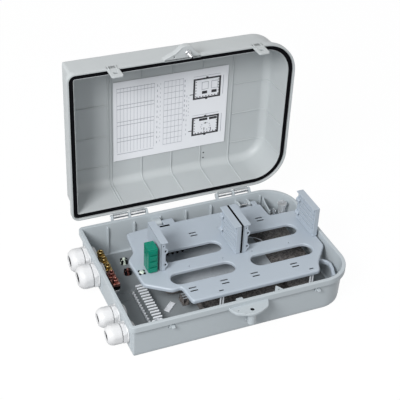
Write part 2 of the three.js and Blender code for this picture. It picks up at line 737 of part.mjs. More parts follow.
function bentBar(points, width, low, high) {
  const left = [];
  const right = [];
  points.forEach(([x, y], i) => {
    const [ax, ay] = points[Math.max(i - 1, 0)];
    const [bx, by] = points[Math.min(i + 1, points.length - 1)];
    const across = new THREE.Vector2(by - ay, ax - bx).setLength(width / 2);
    left.push([x + across.x, y + across.y]);
    right.unshift([x - across.x, y - across.y]);
  });
  const outline = [...left, ...right].map(([x, y]) => new THREE.Vector2(x, y));
  return prism(new THREE.Shape(outline), low, high);
}

// A raised bar that bends round the corner, on a leg at each end.
function cornerGuide() {
  const bar = bentBar([[144, -52], [158, -58], [165, -70], [157, -96]], 5, 36, 42);
  const legs = [[145, -52.5], [157.6, -94]].map((place) => rod('z', 2.3, FLOOR, 37, place, 10));
  return union([bar, ...legs]);
}

// ---------------------------------------------------------------- the assembly
addPiece('base_tray', baseTray(), ABS_GREY);

addPiece('lid_shell', lidShell(), ABS_GREY, lidGroup);
addPiece('lid_gasket', lidGasket(), RUBBER, lidGroup);
addPiece('lid_label', lidLabel(), PAPER, lidGroup);
addPiece('lock_screw', lockScrew(), STEEL, lidGroup);
for (const [name, x] of [['lid_hinge_pin_left', -HINGE.x], ['lid_hinge_pin_right', HINGE.x]]) {
  const reach = (HINGE.length + 1) / 2;
  addPiece(name, hingePin(x - reach, x + reach, HINGE), STEEL);
}

GLANDS.forEach(({ y, scale }, i) => {
  const n = i + 1;
  addPiece(`gland_body_${n}`, placeGland(glandBody(scale), y), NYLON);
  addPiece(`gland_nut_${n}`, placeGland(glandNut(scale), y), NYLON);
  addPiece(`gland_seal_${n}`, placeGland(glandSeal(scale), y), RUBBER);
  addPiece(`gland_locknut_${n}`, placeGland(glandLocknut(scale), y), NYLON);
});

addPiece('clamp_bar', clampBar(), STEEL);
for (let i = 0; i < CLAMP.count; i += 1) {
  addPiece(`clamp_stud_${i + 1}`, clampStud(i), i < 2 ? COPPER : BRASS);
}
addPiece('earth_stud_1', earthStud(-118, 84), BRASS);
addPiece('earth_stud_2', earthStud(-121, 57), COPPER);

addPiece('cable_comb', cableComb(), CLEAR);
combScrewPlaces().forEach((place, i) => {
  addPiece(`comb_screw_${i + 1}`, panScrew(place, FLOOR + COMB.base), STEEL);
});

addPiece('swing_plate', swingPlate(), ABS_GREY);
addPiece('wing_screw', panScrew([-121, -7], PLATE.top), STEEL);
for (const hinge of PLATE_HINGES) {
  const pin = hingePin(...plateHingeSpan(hinge), PLATE_AXIS);
  addPiece(`plate_hinge_pin_${hinge.side}`, pin, STEEL);
}
BRACKETS.forEach((spec, i) => addPiece(`module_bracket_${i + 1}`, moduleBracket(spec), ABS_GREY));
LATCHES.forEach((x, i) => {
  const post = box(x - 3, x + 3, -90, -86.6, FLOOR, 51).add(box(x - 3, x + 3, -94, -86.6, FLOOR, 12));
  addPiece(`plate_latch_${['left', 'right'][i]}`, post, CLEAR);
});

for (let i = 0; i < ADAPTER_COUNT; i += 1) {
  addPiece(`adapter_${i + 1}`, adapter(i), GREEN);
  addPiece(`adapter_cap_${i + 1}`, adapterCap(i), GREEN);
}

addPiece('splice_tray', spliceTray(), ABS_DARK);
addPiece('splice_holder', spliceHolder(), RUBBER);
addPiece('splice_cover', spliceCover(), CLEAR);
addPiece('fibre_ring', fibreRing(143.5, 90, 34, 6.5), CLEAR);
addPiece('fibre_drum', rod('z', 8, FLOOR, 54, [159, 86], 24), CLEAR);
addPiece('fibre_clip', fibreClip(), CLEAR);
addPiece('corner_guide', cornerGuide(), ABS_GREY);
addPiece('partition', bentBar([[135.5, 112], [133, 98], [129.5, 73]], 2.2, FLOOR, 53), ABS_GREY);

export default box3d;
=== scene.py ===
"""Looks of an open wall box for optical fibre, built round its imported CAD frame."""

import math

import bmesh
import bpy
from mathutils import Matrix, Vector
from mathutils.geometry import tessellate_polygon


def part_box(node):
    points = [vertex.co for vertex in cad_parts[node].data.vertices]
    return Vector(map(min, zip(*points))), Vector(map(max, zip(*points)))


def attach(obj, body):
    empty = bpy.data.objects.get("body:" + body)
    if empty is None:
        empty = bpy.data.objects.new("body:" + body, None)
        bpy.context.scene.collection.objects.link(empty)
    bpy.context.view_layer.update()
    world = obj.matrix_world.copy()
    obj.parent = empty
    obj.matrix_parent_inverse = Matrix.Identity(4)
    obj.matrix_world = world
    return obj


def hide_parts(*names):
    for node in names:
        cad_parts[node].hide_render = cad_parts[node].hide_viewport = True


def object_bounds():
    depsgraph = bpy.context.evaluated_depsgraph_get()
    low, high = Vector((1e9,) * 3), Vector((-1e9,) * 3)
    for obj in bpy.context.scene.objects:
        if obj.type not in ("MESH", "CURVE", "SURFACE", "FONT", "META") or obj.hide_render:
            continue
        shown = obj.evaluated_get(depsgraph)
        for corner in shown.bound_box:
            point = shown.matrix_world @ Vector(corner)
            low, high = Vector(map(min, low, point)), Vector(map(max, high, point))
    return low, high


bl_info = {
    "name": "Fibre termination box",
    "version": (1, 0, 0),
    "blender": (4, 5, 0),
    "location": "3D View > Sidebar > Fibre box",
    "description": "Builds an open fibre termination box piece by piece over its CAD frame",
    "category": "Object",
}

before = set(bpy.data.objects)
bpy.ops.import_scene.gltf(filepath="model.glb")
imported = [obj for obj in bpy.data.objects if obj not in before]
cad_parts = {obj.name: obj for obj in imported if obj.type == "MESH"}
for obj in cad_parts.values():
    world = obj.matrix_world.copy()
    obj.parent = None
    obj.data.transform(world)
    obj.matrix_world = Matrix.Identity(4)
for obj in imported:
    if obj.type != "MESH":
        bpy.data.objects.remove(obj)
CAD_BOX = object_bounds()

MM = 0.001


# ---------------------------------------------------------------- finishes, by material name
BOX_GREY, LID_GREY, PLATE_GREY = "Grey box plastic", "Grey lid plastic", "Cool grey plate plastic"
# The floor grey is the box grey darkened: painted shade on the base's floor, also used on the comb
FLOOR_SHADE_GREY, COVER_GREY = "Textured grey floor", "Smooth grey cover"
NYLON, GREEN, SEAM = "White nylon", "Green adapter plastic", "Dark adapter seam"
RUBBER, SEAL = "Black rubber", "Black seal rubber"
PAPER, THIN_INK, BLACK_INK = "Label paper", "Label ink", "Label black ink"
ZINC, BRIGHT, PALE = "Zinc-plated steel", "Bright steel", "Pale plating"
BRASS, COPPER = "Brass", "Copper plating"
CLEAR, MILKY, DARK = "Clear plastic", "Milky comb plastic", "Dark textured plastic"

# ---------------------------------------------------------------- sizes shared by the pieces, in mm
HALF_X, HALF_Y = 180.0, 125.0
CORNER_LEFT, CORNER_RIGHT = 8.0, 50.0
OVERLAP = 5.0                   # how far the lid's rim stands out past the base's
ON_FLOOR = 3.3                  # underside of what stands on the base's floor
FLOOR_SKIN = (3.1, 3.3)         # underside and top, as in the other pairs of heights
PLATE_TOP = round(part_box("swing_plate")[1].z / MM, 3)
ON_PLATE = PLATE_TOP + 0.3
PLATE_SHEET = 2.2
LID_AXIS = (136.0, 57.5)        # y and z
LID_OPEN_DEG = 89.4
LID_CEILING = 124.5
LID_CURVE = 111.5               # height where the lid's walls start to curve into its top
LID_RIB_CURVE = 12.4            # radius of the ribs' bend at the lid's top edges
LOCK_Y = -137.5
LOCK_TAB = (49.5, 53.5)
LID_TAB = (57.5, 67.5)
KNUCKLE_X = 91.0
KNUCKLE_STEP = 29.25
BACK_RIB_RUN = 310.1            # length of hinge-side wall that the ribs share
PLATE_AXIS = (107.0, 50.0)      # y and z
FIXING_HOLES = ((-150, -104), (-150, 104), (140, -88), (140, 88))
GLAND_FACE, GLAND_Z = -175.5, 28.0
GLANDS = ((86.0, 1.0), (43.5, 1.0), (-54.0, 0.81), (-93.0, 0.81))      # y and scale
TONGUE_X, TONGUE_EYE_Z, TONGUE_HALF = 116.0, 44.5, 9.0
TONGUE_FACE = (-130.0, -127.2)  # front and back
BRACKET_FRONT, BRACKET_BACK = -14.0, 43.0
BRACKET_HEIGHT = 52
BRACKET_LOBES = (0.2, 0.68)     # heights of the screw lobes, as shares of the bracket's height
BRACKET_BOSS_X, BRACKET_EYE_X = 7.8, 5.6
BRACKETS = ((-94.5, False), (37.0, True), (39.4, False), (170.3, True))     # x, turned round
ADAPTER_X, ADAPTER_FRONT, ADAPTER_PITCH, ADAPTER_DEPTH = -105.0, -12.5, 10.8, 21
ADAPTER_COUNT = 4
COMB = (-132.0, -112.0, -84.0, 16.0)    # left, right, front, back
CLAMP_X, CLAMP_Y, CLAMP_PITCH, CLAMP_COUNT = -157.5, 9.0, 17.8, 5
RAIL = (22, 25)
EARTH_STUDS = ((-118.0, 84.0), (-121.0, 57.0))
PLATE_SCREW = (-121.0, -7.0)

PLATE_OUTLINE = (
    (-111, 93), (-115.5, 45), (-130.5, 28), (-128, -33), (-92, -59), (-77, -57),
    (-74, -93), (134, -93), (142, -73), (170, -38), (170, 62), (124, 62), (123, 97), (-73, 97),
)
SLOT_LENGTH, SLOT_WIDTH = 103, 27
PLATE_SLOTS = ((-34.5, -37.5), (-34.0, 16.5), (96.5, -37.5), (97.0, 17.0))
TIE_PAIRS = ((-63, -68), (-12.7, -68), (37, -68), (103, -68), (-12.7, 55.8), (103, 57))
PLATE_EYES = ((-48, -16), (7.3, -15.7), (56.4, -15), (119.4, -15.3), (31, 60))
PLATE_EARS = ((-67, -62), (-46.5, -28), (76, 87), (110, 118.5))     # spans of x
PLATE_POSTS = ((-61.4, -47.1), (87.6, 91), (106, 109.4))
LATCHES = (-25.5, 123.0)
TAB_OUTLINE = (
    (-31, -119), (-31, -127), (-25, -139), (-10, -146), (0, -148),
    (10, -146), (25, -139), (31, -127), (31, -119),
)
LID_TAB_OUTLINE = (
    (-38, -126), (-38, -130), (-18, -139), (-8, -148.5),
    (6, -148.5), (12, -139), (22, -130), (24, -126),
)
TRAY_OUTLINE = (
    (-50, -84), (134, -84), (134, -46), (156, -46), (156, 69), (-84, 69), (-84, -18), (-50, -18),
)


# ---------------------------------------------------------------- settings a user would change
class FibreBoxSizes(bpy.types.PropertyGroup):
    plate_fillet: bpy.props.FloatProperty(
        name="Plate edge rounding", description="Radius of the swing plate's upper edge",
        default=0.0028, min=0.0005, max=0.004, unit="LENGTH")
    rib_width: bpy.props.FloatProperty(
        name="Lid rib width", description="Width of the thin ribs inside the lid",
        default=0.0026, min=0.0005, max=0.004, unit="LENGTH")
    comb_fins: bpy.props.IntProperty(
        name="Comb fins", description="Number of fins on the cable comb",
        default=13, min=2, max=30)
    back_ribs: bpy.props.IntProperty(
        name="Back wall ribs", description="Number of ribs on the inside of the hinge-side wall",
        default=7, min=1, max=12)
    label_lines: bpy.props.IntProperty(
        name="Label columns", description="Number of upright lines of the label's first table",
        default=12, min=2, max=20)


class FibreBoxFinishes(bpy.types.PropertyGroup):
    box_grey: bpy.props.FloatVectorProperty(
        name="Box grey", description="Colour of the base",
        default=(0.47, 0.518, 0.548), subtype="COLOR", min=0, max=1)
    lid_grey: bpy.props.FloatVectorProperty(
        name="Lid grey", description="Colour of the lid",
        default=(0.50, 0.53, 0.54), subtype="COLOR", min=0, max=1)
    plate_grey: bpy.props.FloatVectorProperty(
        name="Plate grey", description="Colour of the swing plate and its brackets",
        default=(0.43, 0.487, 0.55), subtype="COLOR", min=0, max=1)
    adapter_green: bpy.props.FloatVectorProperty(
        name="Adapter green", description="Colour of the fibre adapters and their caps",
        default=(0.001, 0.222, 0.146), subtype="COLOR", min=0, max=1)
    nylon_white: bpy.props.FloatVectorProperty(
        name="Gland white", description="Colour of the cable glands",
        default=(0.70, 0.705, 0.715), subtype="COLOR", min=0, max=1)
    box_roughness: bpy.props.FloatProperty(
        name="Box roughness", description="Roughness of the moulded grey plastic",
        default=0.44, min=0.05, max=1, subtype="FACTOR")


class FibreBoxStage(bpy.types.PropertyGroup):
    azimuth: bpy.props.FloatProperty(
        name="Camera azimuth", description="Camera direction about the upright axis",
        default=math.radians(-24.12), subtype="ANGLE")
    elevation: bpy.props.FloatProperty(
        name="Camera elevation", description="Camera height angle",
        default=math.radians(34.91), subtype="ANGLE")
    roll: bpy.props.FloatProperty(
        name="Camera roll", description="Turn of the camera about its own view",
        default=math.radians(2.64), subtype="ANGLE")
    distance: bpy.props.FloatProperty(
        name="Camera distance", description="From the point looked at",
        default=1.52602, min=0.2, unit="LENGTH")
    look_at: bpy.props.FloatVectorProperty(
        name="Look at", description="Point in the middle of the view",
        default=(-0.00746, 0.04708, 0.12392), subtype="TRANSLATION")
    lens: bpy.props.FloatProperty(
        name="Lens", description="Focal length in millimetres on a 36 mm sensor",
        default=89.99, min=10)
    key_power: bpy.props.FloatProperty(
        name="Key light", description="Power of the large soft lamp on the left, in watts",
        default=42.0, min=0)
    ambient: bpy.props.FloatProperty(
        name="Ambient", description="Strength of the even light from all round",
        default=0.5, min=0)


# ---------------------------------------------------------------- outlines
def arc(cx, cy, r, start, end, steps):
    """Points on an arc, angles in degrees."""
    points = []
    for i in range(steps + 1):
        angle = math.radians(start + (end - start) * i / steps)
        points.append((cx + r * math.cos(angle), cy + r * math.sin(angle)))
    return points


def box_outline(inset, grown=0.0):
    """The rounded outline of the base rim, grown by one amount and then moved in by another."""
    half_x, half_y = HALF_X + grown - inset, HALF_Y + grown - inset
    right = max(CORNER_RIGHT + grown - inset, 1.0)
    left = max(CORNER_LEFT + grown - inset, 0.9)
    return (
        arc(half_x - right, -half_y + right, right, -90, 0, 16)
        + arc(half_x - right, half_y - right, right, 0, 90, 16)
        + arc(-half_x + left, half_y - left, left, 90, 180, 7)
        + arc(-half_x + left, -half_y + left, left, 180, 270, 7)
    )


def rectangle(x0, x1, y0, y1, radius=0.0):
    """A rectangle, with its corners rounded where a radius is given."""
    if not radius:
        return [(x0, y0), (x1, y0), (x1, y1), (x0, y1)]
    return (
        arc(x1 - radius, y0 + radius, radius, -90, 0, 3)
        + arc(x1 - radius, y1 - radius, radius, 0, 90, 3)
        + arc(x0 + radius, y1 - radius, radius, 90, 180, 3)
        + arc(x0 + radius, y0 + radius, radius, 180, 270, 3)
    )


def circle(cx, cy, r, sides=20):
    return arc(cx, cy, r, 0, 360 - 360 / sides, sides - 1)


def racetrack(cx, cy, length, width):
    r = width / 2
    half = length / 2 - r
    return arc(cx + half, cy, r, -90, 90, 12) + arc(cx - half, cy, r, 90, 270, 12)


def anticlockwise(loop):
    loop = list(loop)
    doubled = sum(a[0] * b[1] - b[0] * a[1] for a, b in zip(loop, loop[1:] + loop[:1]))
    return loop if doubled > 0 else loop[::-1]


def rounded(points, radius, steps=4):
    """A polygon with its corners rounded by quadratic curves, anticlockwise."""
    points = [Vector(p) for p in anticlockwise(points)]
    loop = []
    for i, corner in enumerate(points):
        before, after = points[i - 1], points[(i + 1) % len(points)]
        reach_in = min(radius, (corner - before).length / 2.2)
        reach_out = min(radius, (after - corner).length / 2.2)
        start = corner + (before - corner).normalized() * reach_in
        end = corner + (after - corner).normalized() * reach_out
        for k in range(steps + 1):
            t = k / steps
            p = start * (1 - t) ** 2 + corner * 2 * t * (1 - t) + end * t ** 2
            loop.append((p.x, p.y))
    return loop


def moved_in(loop, distance):
    """An anticlockwise loop moved inwards, each side parallel to itself."""
    if abs(distance) < 1e-9:
        return list(loop)
    moved = []
    count = len(loop)
    for i, point in enumerate(loop):
        a = Vector(point) - Vector(loop[i - 1])
        b = Vector(loop[(i + 1) % count]) - Vector(point)
        a.normalize()
        b.normalize()
        normal_a, normal_b = Vector((-a.y, a.x)), Vector((-b.y, b.x))
        middle = normal_a + normal_b
        reach = distance / max(1 + normal_a.dot(normal_b), 0.35)
        moved.append((point[0] + middle.x * reach, point[1] + middle.y * reach))
    return moved


def fillet_profile(fillet, high, steps):
    """(inset, height) pairs round the upper edge of a slab, from its side to its top."""
    pairs = []
    for k in range(steps + 1):
        angle = math.radians(90 * k / steps)
        pairs.append((fillet * (1 - math.cos(angle)), high - fillet * (1 - math.sin(angle))))
    return pairs


def edge_profile(low, high, fillet, foot):
    """(inset, height) pairs up the side of a slab, from its underside to its top."""
    return [(foot, low), (0.0, low + foot)] + fillet_profile(fillet, high, 4)


# ---------------------------------------------------------------- solids, as (points, faces)
def placed(points2d, height, plane):
    """Points of an outline at a height along the axis that the outline's plane leaves out."""
    if plane == "xy":
        return [(a, b, height) for a, b in points2d]
    if plane == "xz":
        return [(a, height, b) for a, b in points2d]
    return [(height, a, b) for a, b in points2d]


def skin(rings, around=False):
    """Walls between rings with the same number of points. Around joins the last ring to the first,
    and otherwise both ends are closed."""
    count = len(rings[0])
    points = [p for ring in rings for p in ring]
    faces = []
    last = len(rings) if around else len(rings) - 1
    for r in range(last):
        low, high = r * count, ((r + 1) % len(rings)) * count
        for i in range(count):
            j = (i + 1) % count
            faces.append((low + i, low + j, high + j, high + i))
    if not around:
        faces.append(tuple(reversed(range(count))))
        faces.append(tuple(range((len(rings) - 1) * count, len(rings) * count)))
    return points, faces


def plate(outer, profile, holes=(), plane="xy"):
    """A flat plate. The profile gives (inset, height) pairs from the lower face to the upper face,
    and each hole is a pair of its own loop and profile, with insets measured into the material."""
    points, faces = [], []
    caps = ([], [])
    for index, (loop, pairs) in enumerate([(outer, profile), *holes]):
        loop = anticlockwise(loop)
        sign = 1 if index == 0 else -1
        count = len(loop)
        start = len(points)
        for inset, height in pairs:
            points += placed(moved_in(loop, sign * inset), height, plane)
        for r in range(len(pairs) - 1):
            for i in range(count):
                j = (i + 1) % count
                a, b = start + r * count, start + (r + 1) * count
                faces.append((a + i, a + j, b + j, b + i))
        caps[0].append(range(start, start + count))
        caps[1].append(range(start + (len(pairs) - 1) * count, start + len(pairs) * count))
    for cap in caps:
        flat = [i for loop in cap for i in loop]
        loops = [[Vector(points[i]) for i in loop] for loop in cap]
        faces += [tuple(flat[k] for k in triangle) for triangle in tessellate_polygon(loops)]
    return points, faces


def block(x0, x1, y0, y1, z0, z1, fillet=0.5):
    """A bar with all its edges a little rounded."""
    fillet = min(fillet, (x1 - x0) / 3, (y1 - y0) / 3, (z1 - z0) / 3)
    outline = rectangle(x0, x1, y0, y1, fillet * 1.4 if fillet else 0.0)
    return plate(outline, edge_profile(z0, z1, fillet, fillet))


def turned(profile, sides=32, facet=None):
    """A turned solid about +Z from a closed list of (radius, height). A facet distance flattens
    six sides."""
    rings = []
    for k in range(sides):
        angle = 2 * math.pi * k / sides
        limit = 1e9
        if facet:
            limit = facet / math.cos((angle % (math.pi / 3)) - math.pi / 6)
        ring = []
        for r, h in profile:
            reach = min(r, limit)
            ring.append((reach * math.cos(angle), reach * math.sin(angle), h))
        rings.append(ring)
    return skin(rings, around=True)


def cylinder(radius, low, high, sides):
    """A plain round disc or rod about +Z."""
    return turned([(0, low), (radius, low), (radius, high), (0, high)], sides)


def tube(path, radius, sides=8):
    """A round bar along a path of points, with flat ends."""
    path = [Vector(p) for p in path]
    rings = []
    for i, point in enumerate(path):
        along = (path[min(i + 1, len(path) - 1)] - path[max(i - 1, 0)]).normalized()
        side = along.cross(Vector((0.3, 0.2, 1.0)))
        side.normalize()
        up = side.cross(along)
        ring = []
        for k in range(sides):
            angle = 2 * math.pi * k / sides
            ring.append(tuple(point + (side * math.cos(angle) + up * math.sin(angle)) * radius))
        rings.append(ring)
    return skin(rings)


def moved(part, matrix):
    points, faces = part
    return [tuple(matrix @ Vector(p)) for p in points], faces


def shifted(part, x=0.0, y=0.0, z=0.0):
    return moved(part, Matrix.Translation((x, y, z)))


def lying(part, x, y, z):
    """A part made about +Z, laid along X and put in its place."""
    return shifted(moved(part, UP_TO_LEFT), x, y, z)


def bent_outline(path, width):
    """The outline of a strip of even width along a path in the plane."""
    left, right = [], []
    for i, point in enumerate(path):
        before = Vector(path[max(i - 1, 0)])
        after = Vector(path[min(i + 1, len(path) - 1)])
        across = (after - before).normalized() * (width / 2)
        left.append((point[0] + across.y, point[1] - across.x))
        right.insert(0, (point[0] - across.y, point[1] + across.x))
    return left + right


LID_OPEN = (
    Matrix.Translation((0, *LID_AXIS))
    @ Matrix.Rotation(-math.radians(LID_OPEN_DEG), 4, "X")
    @ Matrix.Translation((0, -LID_AXIS[0], -LID_AXIS[1]))
)
UP_TO_LEFT = Matrix.Rotation(-math.pi / 2, 4, "Y")
UP_TO_BACK = Matrix.Rotation(-math.pi / 2, 4, "X")
SHARP_ANGLE = math.radians(38)


# ---------------------------------------------------------------- pieces
def clean_mesh(name, parts, matrix=None):
    """One mesh in metres from parts in millimetres, each part closed and facing outwards."""
    mesh = bpy.data.meshes.new(name)
    whole = bmesh.new()
    for points, faces in parts:
        solid = bmesh.new()
        corners = [solid.verts.new(p) for p in points]
        for face in faces:
            if len(set(face)) > 2:
                solid.faces.new([corners[i] for i in face])
        bmesh.ops.remove_doubles(solid, verts=solid.verts, dist=1e-4)
        bmesh.ops.dissolve_degenerate(solid, edges=solid.edges, dist=1e-4)
        bmesh.ops.recalc_face_normals(solid, faces=solid.faces)
        part_mesh = bpy.data.meshes.new("part")
        solid.to_mesh(part_mesh)
        solid.free()
        whole.from_mesh(part_mesh)
        bpy.data.meshes.remove(part_mesh)
    if matrix is not None:
        whole.transform(matrix)
    whole.transform(Matrix.Scale(MM, 4))
    whole.to_mesh(mesh)
    whole.free()
    return mesh


def new_object(name, mesh):
    thing = bpy.data.objects.new(name, mesh)
    bpy.context.scene.collection.objects.link(thing)
    return thing


def settle(thing):
    """Turns the modifiers of an object into plain mesh."""
    bpy.context.view_layer.update()
    evaluated = thing.evaluated_get(bpy.context.evaluated_depsgraph_get())
    mesh = bpy.data.meshes.new_from_object(evaluated)
    thing.modifiers.clear()
    thing.data = mesh


def taken_out(thing):
    """Removes an object and returns its mesh as a part in millimetres."""
    points = [tuple(v.co / MM) for v in thing.data.vertices]
    faces = [tuple(f.vertices) for f in thing.data.polygons]
    bpy.data.objects.remove(thing)
    return points, faces


def carved(part, cutters):
    """A part with other parts cut out of it, one after another."""
    thing = new_object("carved", clean_mesh("carved", [part]))
    for cutter_part in cutters:
        cutter = new_object("cutter", clean_mesh("cutter", [cutter_part]))
        cut = thing.modifiers.new("Cut", "BOOLEAN")
        cut.operation = "DIFFERENCE"
        cut.solver = "EXACT"
        cut.object = cutter
        settle(thing)
        bpy.data.objects.remove(cutter)
    return taken_out(thing)


def shade(thing):
    """Smooth shading with sharp edges kept, and flat faces even."""
    thing.data.shade_smooth()
    thing.data.set_sharp_from_angle(angle=SHARP_ANGLE)
    even = thing.modifiers.new("Even shading", "WEIGHTED_NORMAL")
    even.keep_sharp = True
    settle(thing)


def refinish(thing, kind):
    thing.data.materials.clear()
    thing.data.materials.append(finish(kind))


def piece(name, parts, kind, body, replaces=(), matrix=None):
    """A finished piece: its mesh, its finish, and the CAD body that it rides on."""
    thing = new_object(name, clean_mesh(name, parts, matrix))
    shade(thing)
    refinish(thing, kind)
    thing.data.name = name
    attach(thing, body)
    if replaces:
        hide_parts(*replaces)


# ---------------------------------------------------------------- geometry node trees
def node_group(name, inputs):
    tree = bpy.data.node_groups.new(name, "GeometryNodeTree")
    tree.interface.new_socket("Geometry", in_out="INPUT", socket_type="NodeSocketGeometry")
    for label, kind, default in inputs:
        socket = tree.interface.new_socket(label, in_out="INPUT", socket_type=kind)
        if default is not None:
            socket.default_value = default
    tree.interface.new_socket("Geometry", in_out="OUTPUT", socket_type="NodeSocketGeometry")
    return tree, tree.nodes.new("NodeGroupInput"), tree.nodes.new("NodeGroupOutput")


def finish_copies(tree, source, entry, result):
    """Ends a tree: a row of copies of the source, made real and given its material."""
    line = tree.nodes.new("GeometryNodeMeshLine")
    copies = tree.nodes.new("GeometryNodeInstanceOnPoints")
    real = tree.nodes.new("GeometryNodeRealizeInstances")
    paint = tree.nodes.new("GeometryNodeSetMaterial")
    tree.links.new(entry.outputs["Count"], line.inputs["Count"])
    tree.links.new(entry.outputs["Step"], line.inputs["Offset"])
    tree.links.new(line.outputs["Mesh"], copies.inputs["Points"])
    tree.links.new(source, copies.inputs["Instance"])
    tree.links.new(copies.outputs["Instances"], real.inputs["Geometry"])
    tree.links.new(real.outputs["Geometry"], paint.inputs["Geometry"])
    tree.links.new(entry.outputs["Material"], paint.inputs["Material"])
    tree.links.new(paint.outputs["Geometry"], result.inputs["Geometry"])


def row_tree():
    """Copies of a shape in a straight row."""
    tree = bpy.data.node_groups.get("Row of copies")
    if tree:
        return tree
    tree, entry, result = node_group("Row of copies", (
        ("Count", "NodeSocketInt", 3),
        ("Step", "NodeSocketVector", None),
        ("Material", "NodeSocketMaterial", None),
    ))
    finish_copies(tree, entry.outputs["Geometry"], entry, result)
    return tree


def rib_tree():
    """A low rib with a six-sided section along a path, copied in a row."""
    tree = bpy.data.node_groups.get("Ribs along a path")
    if tree:
        return tree
    tree, entry, result = node_group("Ribs along a path", (
        ("Radius", "NodeSocketFloat", 0.001),
        ("Count", "NodeSocketInt", 3),
        ("Step", "NodeSocketVector", None),
        ("Material", "NodeSocketMaterial", None),
    ))
    path = tree.nodes.new("GeometryNodeMeshToCurve")
    section = tree.nodes.new("GeometryNodeCurvePrimitiveCircle")
    section.inputs["Resolution"].default_value = 6
    sweep = tree.nodes.new("GeometryNodeCurveToMesh")
    sweep.inputs["Fill Caps"].default_value = True
    tree.links.new(entry.outputs["Geometry"], path.inputs["Mesh"])
    tree.links.new(entry.outputs["Radius"], section.inputs["Radius"])
    tree.links.new(path.outputs["Curve"], sweep.inputs["Curve"])
    tree.links.new(section.outputs["Curve"], sweep.inputs["Profile Curve"])
    finish_copies(tree, sweep.outputs["Mesh"], entry, result)
    return tree


def run_tree(tree, mesh, values):
    """Puts a mesh through a tree and returns what comes out as a part in millimetres."""
    thing = new_object("grown", mesh)
    grow = thing.modifiers.new("Grow", "NODES")
    grow.node_group = tree
    for item in tree.interface.items_tree:
        if item.item_type == "SOCKET" and item.in_out == "INPUT" and item.name in values:
            grow[item.identifier] = values[item.name]
    settle(thing)
    return taken_out(thing)


def split_islands(part):
    """The separate closed shapes of a part."""
    points, faces = part
    parent = list(range(len(points)))

    def root(i):
        while parent[i] != i:
            parent[i] = parent[parent[i]]
            i = parent[i]
        return i

    for face in faces:
        for i in face[1:]:
            parent[root(i)] = root(face[0])
    groups = {}
    for face in faces:
        groups.setdefault(root(face[0]), []).append(face)
    islands = []
    for members in groups.values():
        used = sorted({i for face in members for i in face})
        place = {old: new for new, old in enumerate(used)}
        islands.append(
            ([points[i] for i in used], [tuple(place[i] for i in face) for face in members]))
    return islands


def row(parts, count, step, kind):
    """Copies of parts in a row, a step in millimetres apart."""
    values = {"Count": count, "Step": [v * MM for v in step], "Material": finish(kind)}
    return split_islands(run_tree(row_tree(), clean_mesh("unit", parts), values))


def ribs(path, radius, count, step, kind):
    """Ribs along a path of points in millimetres."""
    mesh = bpy.data.meshes.new("path")
    edges = [(i, i + 1) for i in range(len(path) - 1)]
    mesh.from_pydata([tuple(c * MM for c in p) for p in path], edges, [])
    values = {
        "Radius": radius * MM, "Count": count, "Step": [v * MM for v in step],
        "Material": finish(kind),
    }
    return split_islands(run_tree(rib_tree(), mesh, values))


# ---------------------------------------------------------------- making the finishes
def shader_base(name):
    """A new material, its tree, its shader, and the place on the object that its patterns read."""
    material = bpy.data.materials.new(name)
    material.use_nodes = True
    tree = material.node_tree
    shader = tree.nodes["Principled BSDF"]
    place = tree.nodes.new("ShaderNodeTexCoord")
    return material, tree, shader, place.outputs["Object"]


def noise(tree, place, scale, detail=3.0):
    node = tree.nodes.new("ShaderNodeTexNoise")
    node.inputs["Scale"].default_value = scale
    node.inputs["Detail"].default_value = detail
    tree.links.new(place, node.inputs["Vector"])
    return node.outputs["Fac"]


def spread(tree, value, low, high, from_low=0.3, from_high=0.7):
    """The middle of a noise's range stretched over another range."""
    node = tree.nodes.new("ShaderNodeMapRange")
    node.inputs["From Min"].default_value = from_low
    node.inputs["From Max"].default_value = from_high
    node.inputs["To Min"].default_value = low
    node.inputs["To Max"].default_value = high
    tree.links.new(value, node.inputs["Value"])
    return node.outputs["Result"]


def blend_colours(tree, factor, first, second):
    node = tree.nodes.new("ShaderNodeMix")
    node.data_type = "RGBA"
    sockets = [s for s in node.inputs if s.type == "RGBA"]
    for socket, colour in zip(sockets, (first, second)):
        socket.default_value = (*colour, 1.0)
    tree.links.new(factor, node.inputs["Factor"])
    return next(s for s in node.outputs if s.type == "RGBA")


def add_bump(tree, shader, height, strength, distance):
    bump = tree.nodes.new("ShaderNodeBump")
    bump.inputs["Strength"].default_value = strength
    bump.inputs["Distance"].default_value = distance
    tree.links.new(height, bump.inputs["Height"])
    tree.links.new(bump.outputs["Normal"], shader.inputs["Normal"])


def moulded(name, colour, roughness, variation=0.05, grain=1400.0, bump=0.12, specular=0.5):
    """Moulded plastic: cloudy colour, fine spark grain, and uneven gloss."""
    material, tree, shader, place = shader_base(name)
    cloud = noise(tree, place, 9.0)
    low = [c * (1 - variation) for c in colour]
    high = [min(c * (1 + variation), 1.0) for c in colour]
    tree.links.new(blend_colours(tree, cloud, low, high), shader.inputs["Base Color"])
    gloss = noise(tree, place, 60.0)
    tree.links.new(
        spread(tree, gloss, roughness - 0.05, roughness + 0.06), shader.inputs["Roughness"])
    shader.inputs["Specular IOR Level"].default_value = specular
    add_bump(tree, shader, noise(tree, place, grain, 2.0), bump, 0.0002)
    return material


def plated(name, colour, roughness, tarnish):
    """Plated metal with darker tarnish in patches."""
    material, tree, shader, place = shader_base(name)
    patches = spread(tree, noise(tree, place, 320.0, 4.0), 0.0, 1.0, 0.42, 0.62)
    tree.links.new(blend_colours(tree, patches, colour, tarnish), shader.inputs["Base Color"])
    shader.inputs["Metallic"].default_value = 1.0
    fine = noise(tree, place, 900.0)
    tree.links.new(
        spread(tree, fine, roughness - 0.08, roughness + 0.12), shader.inputs["Roughness"])
    add_bump(tree, shader, fine, 0.15, 0.0002)
    return material


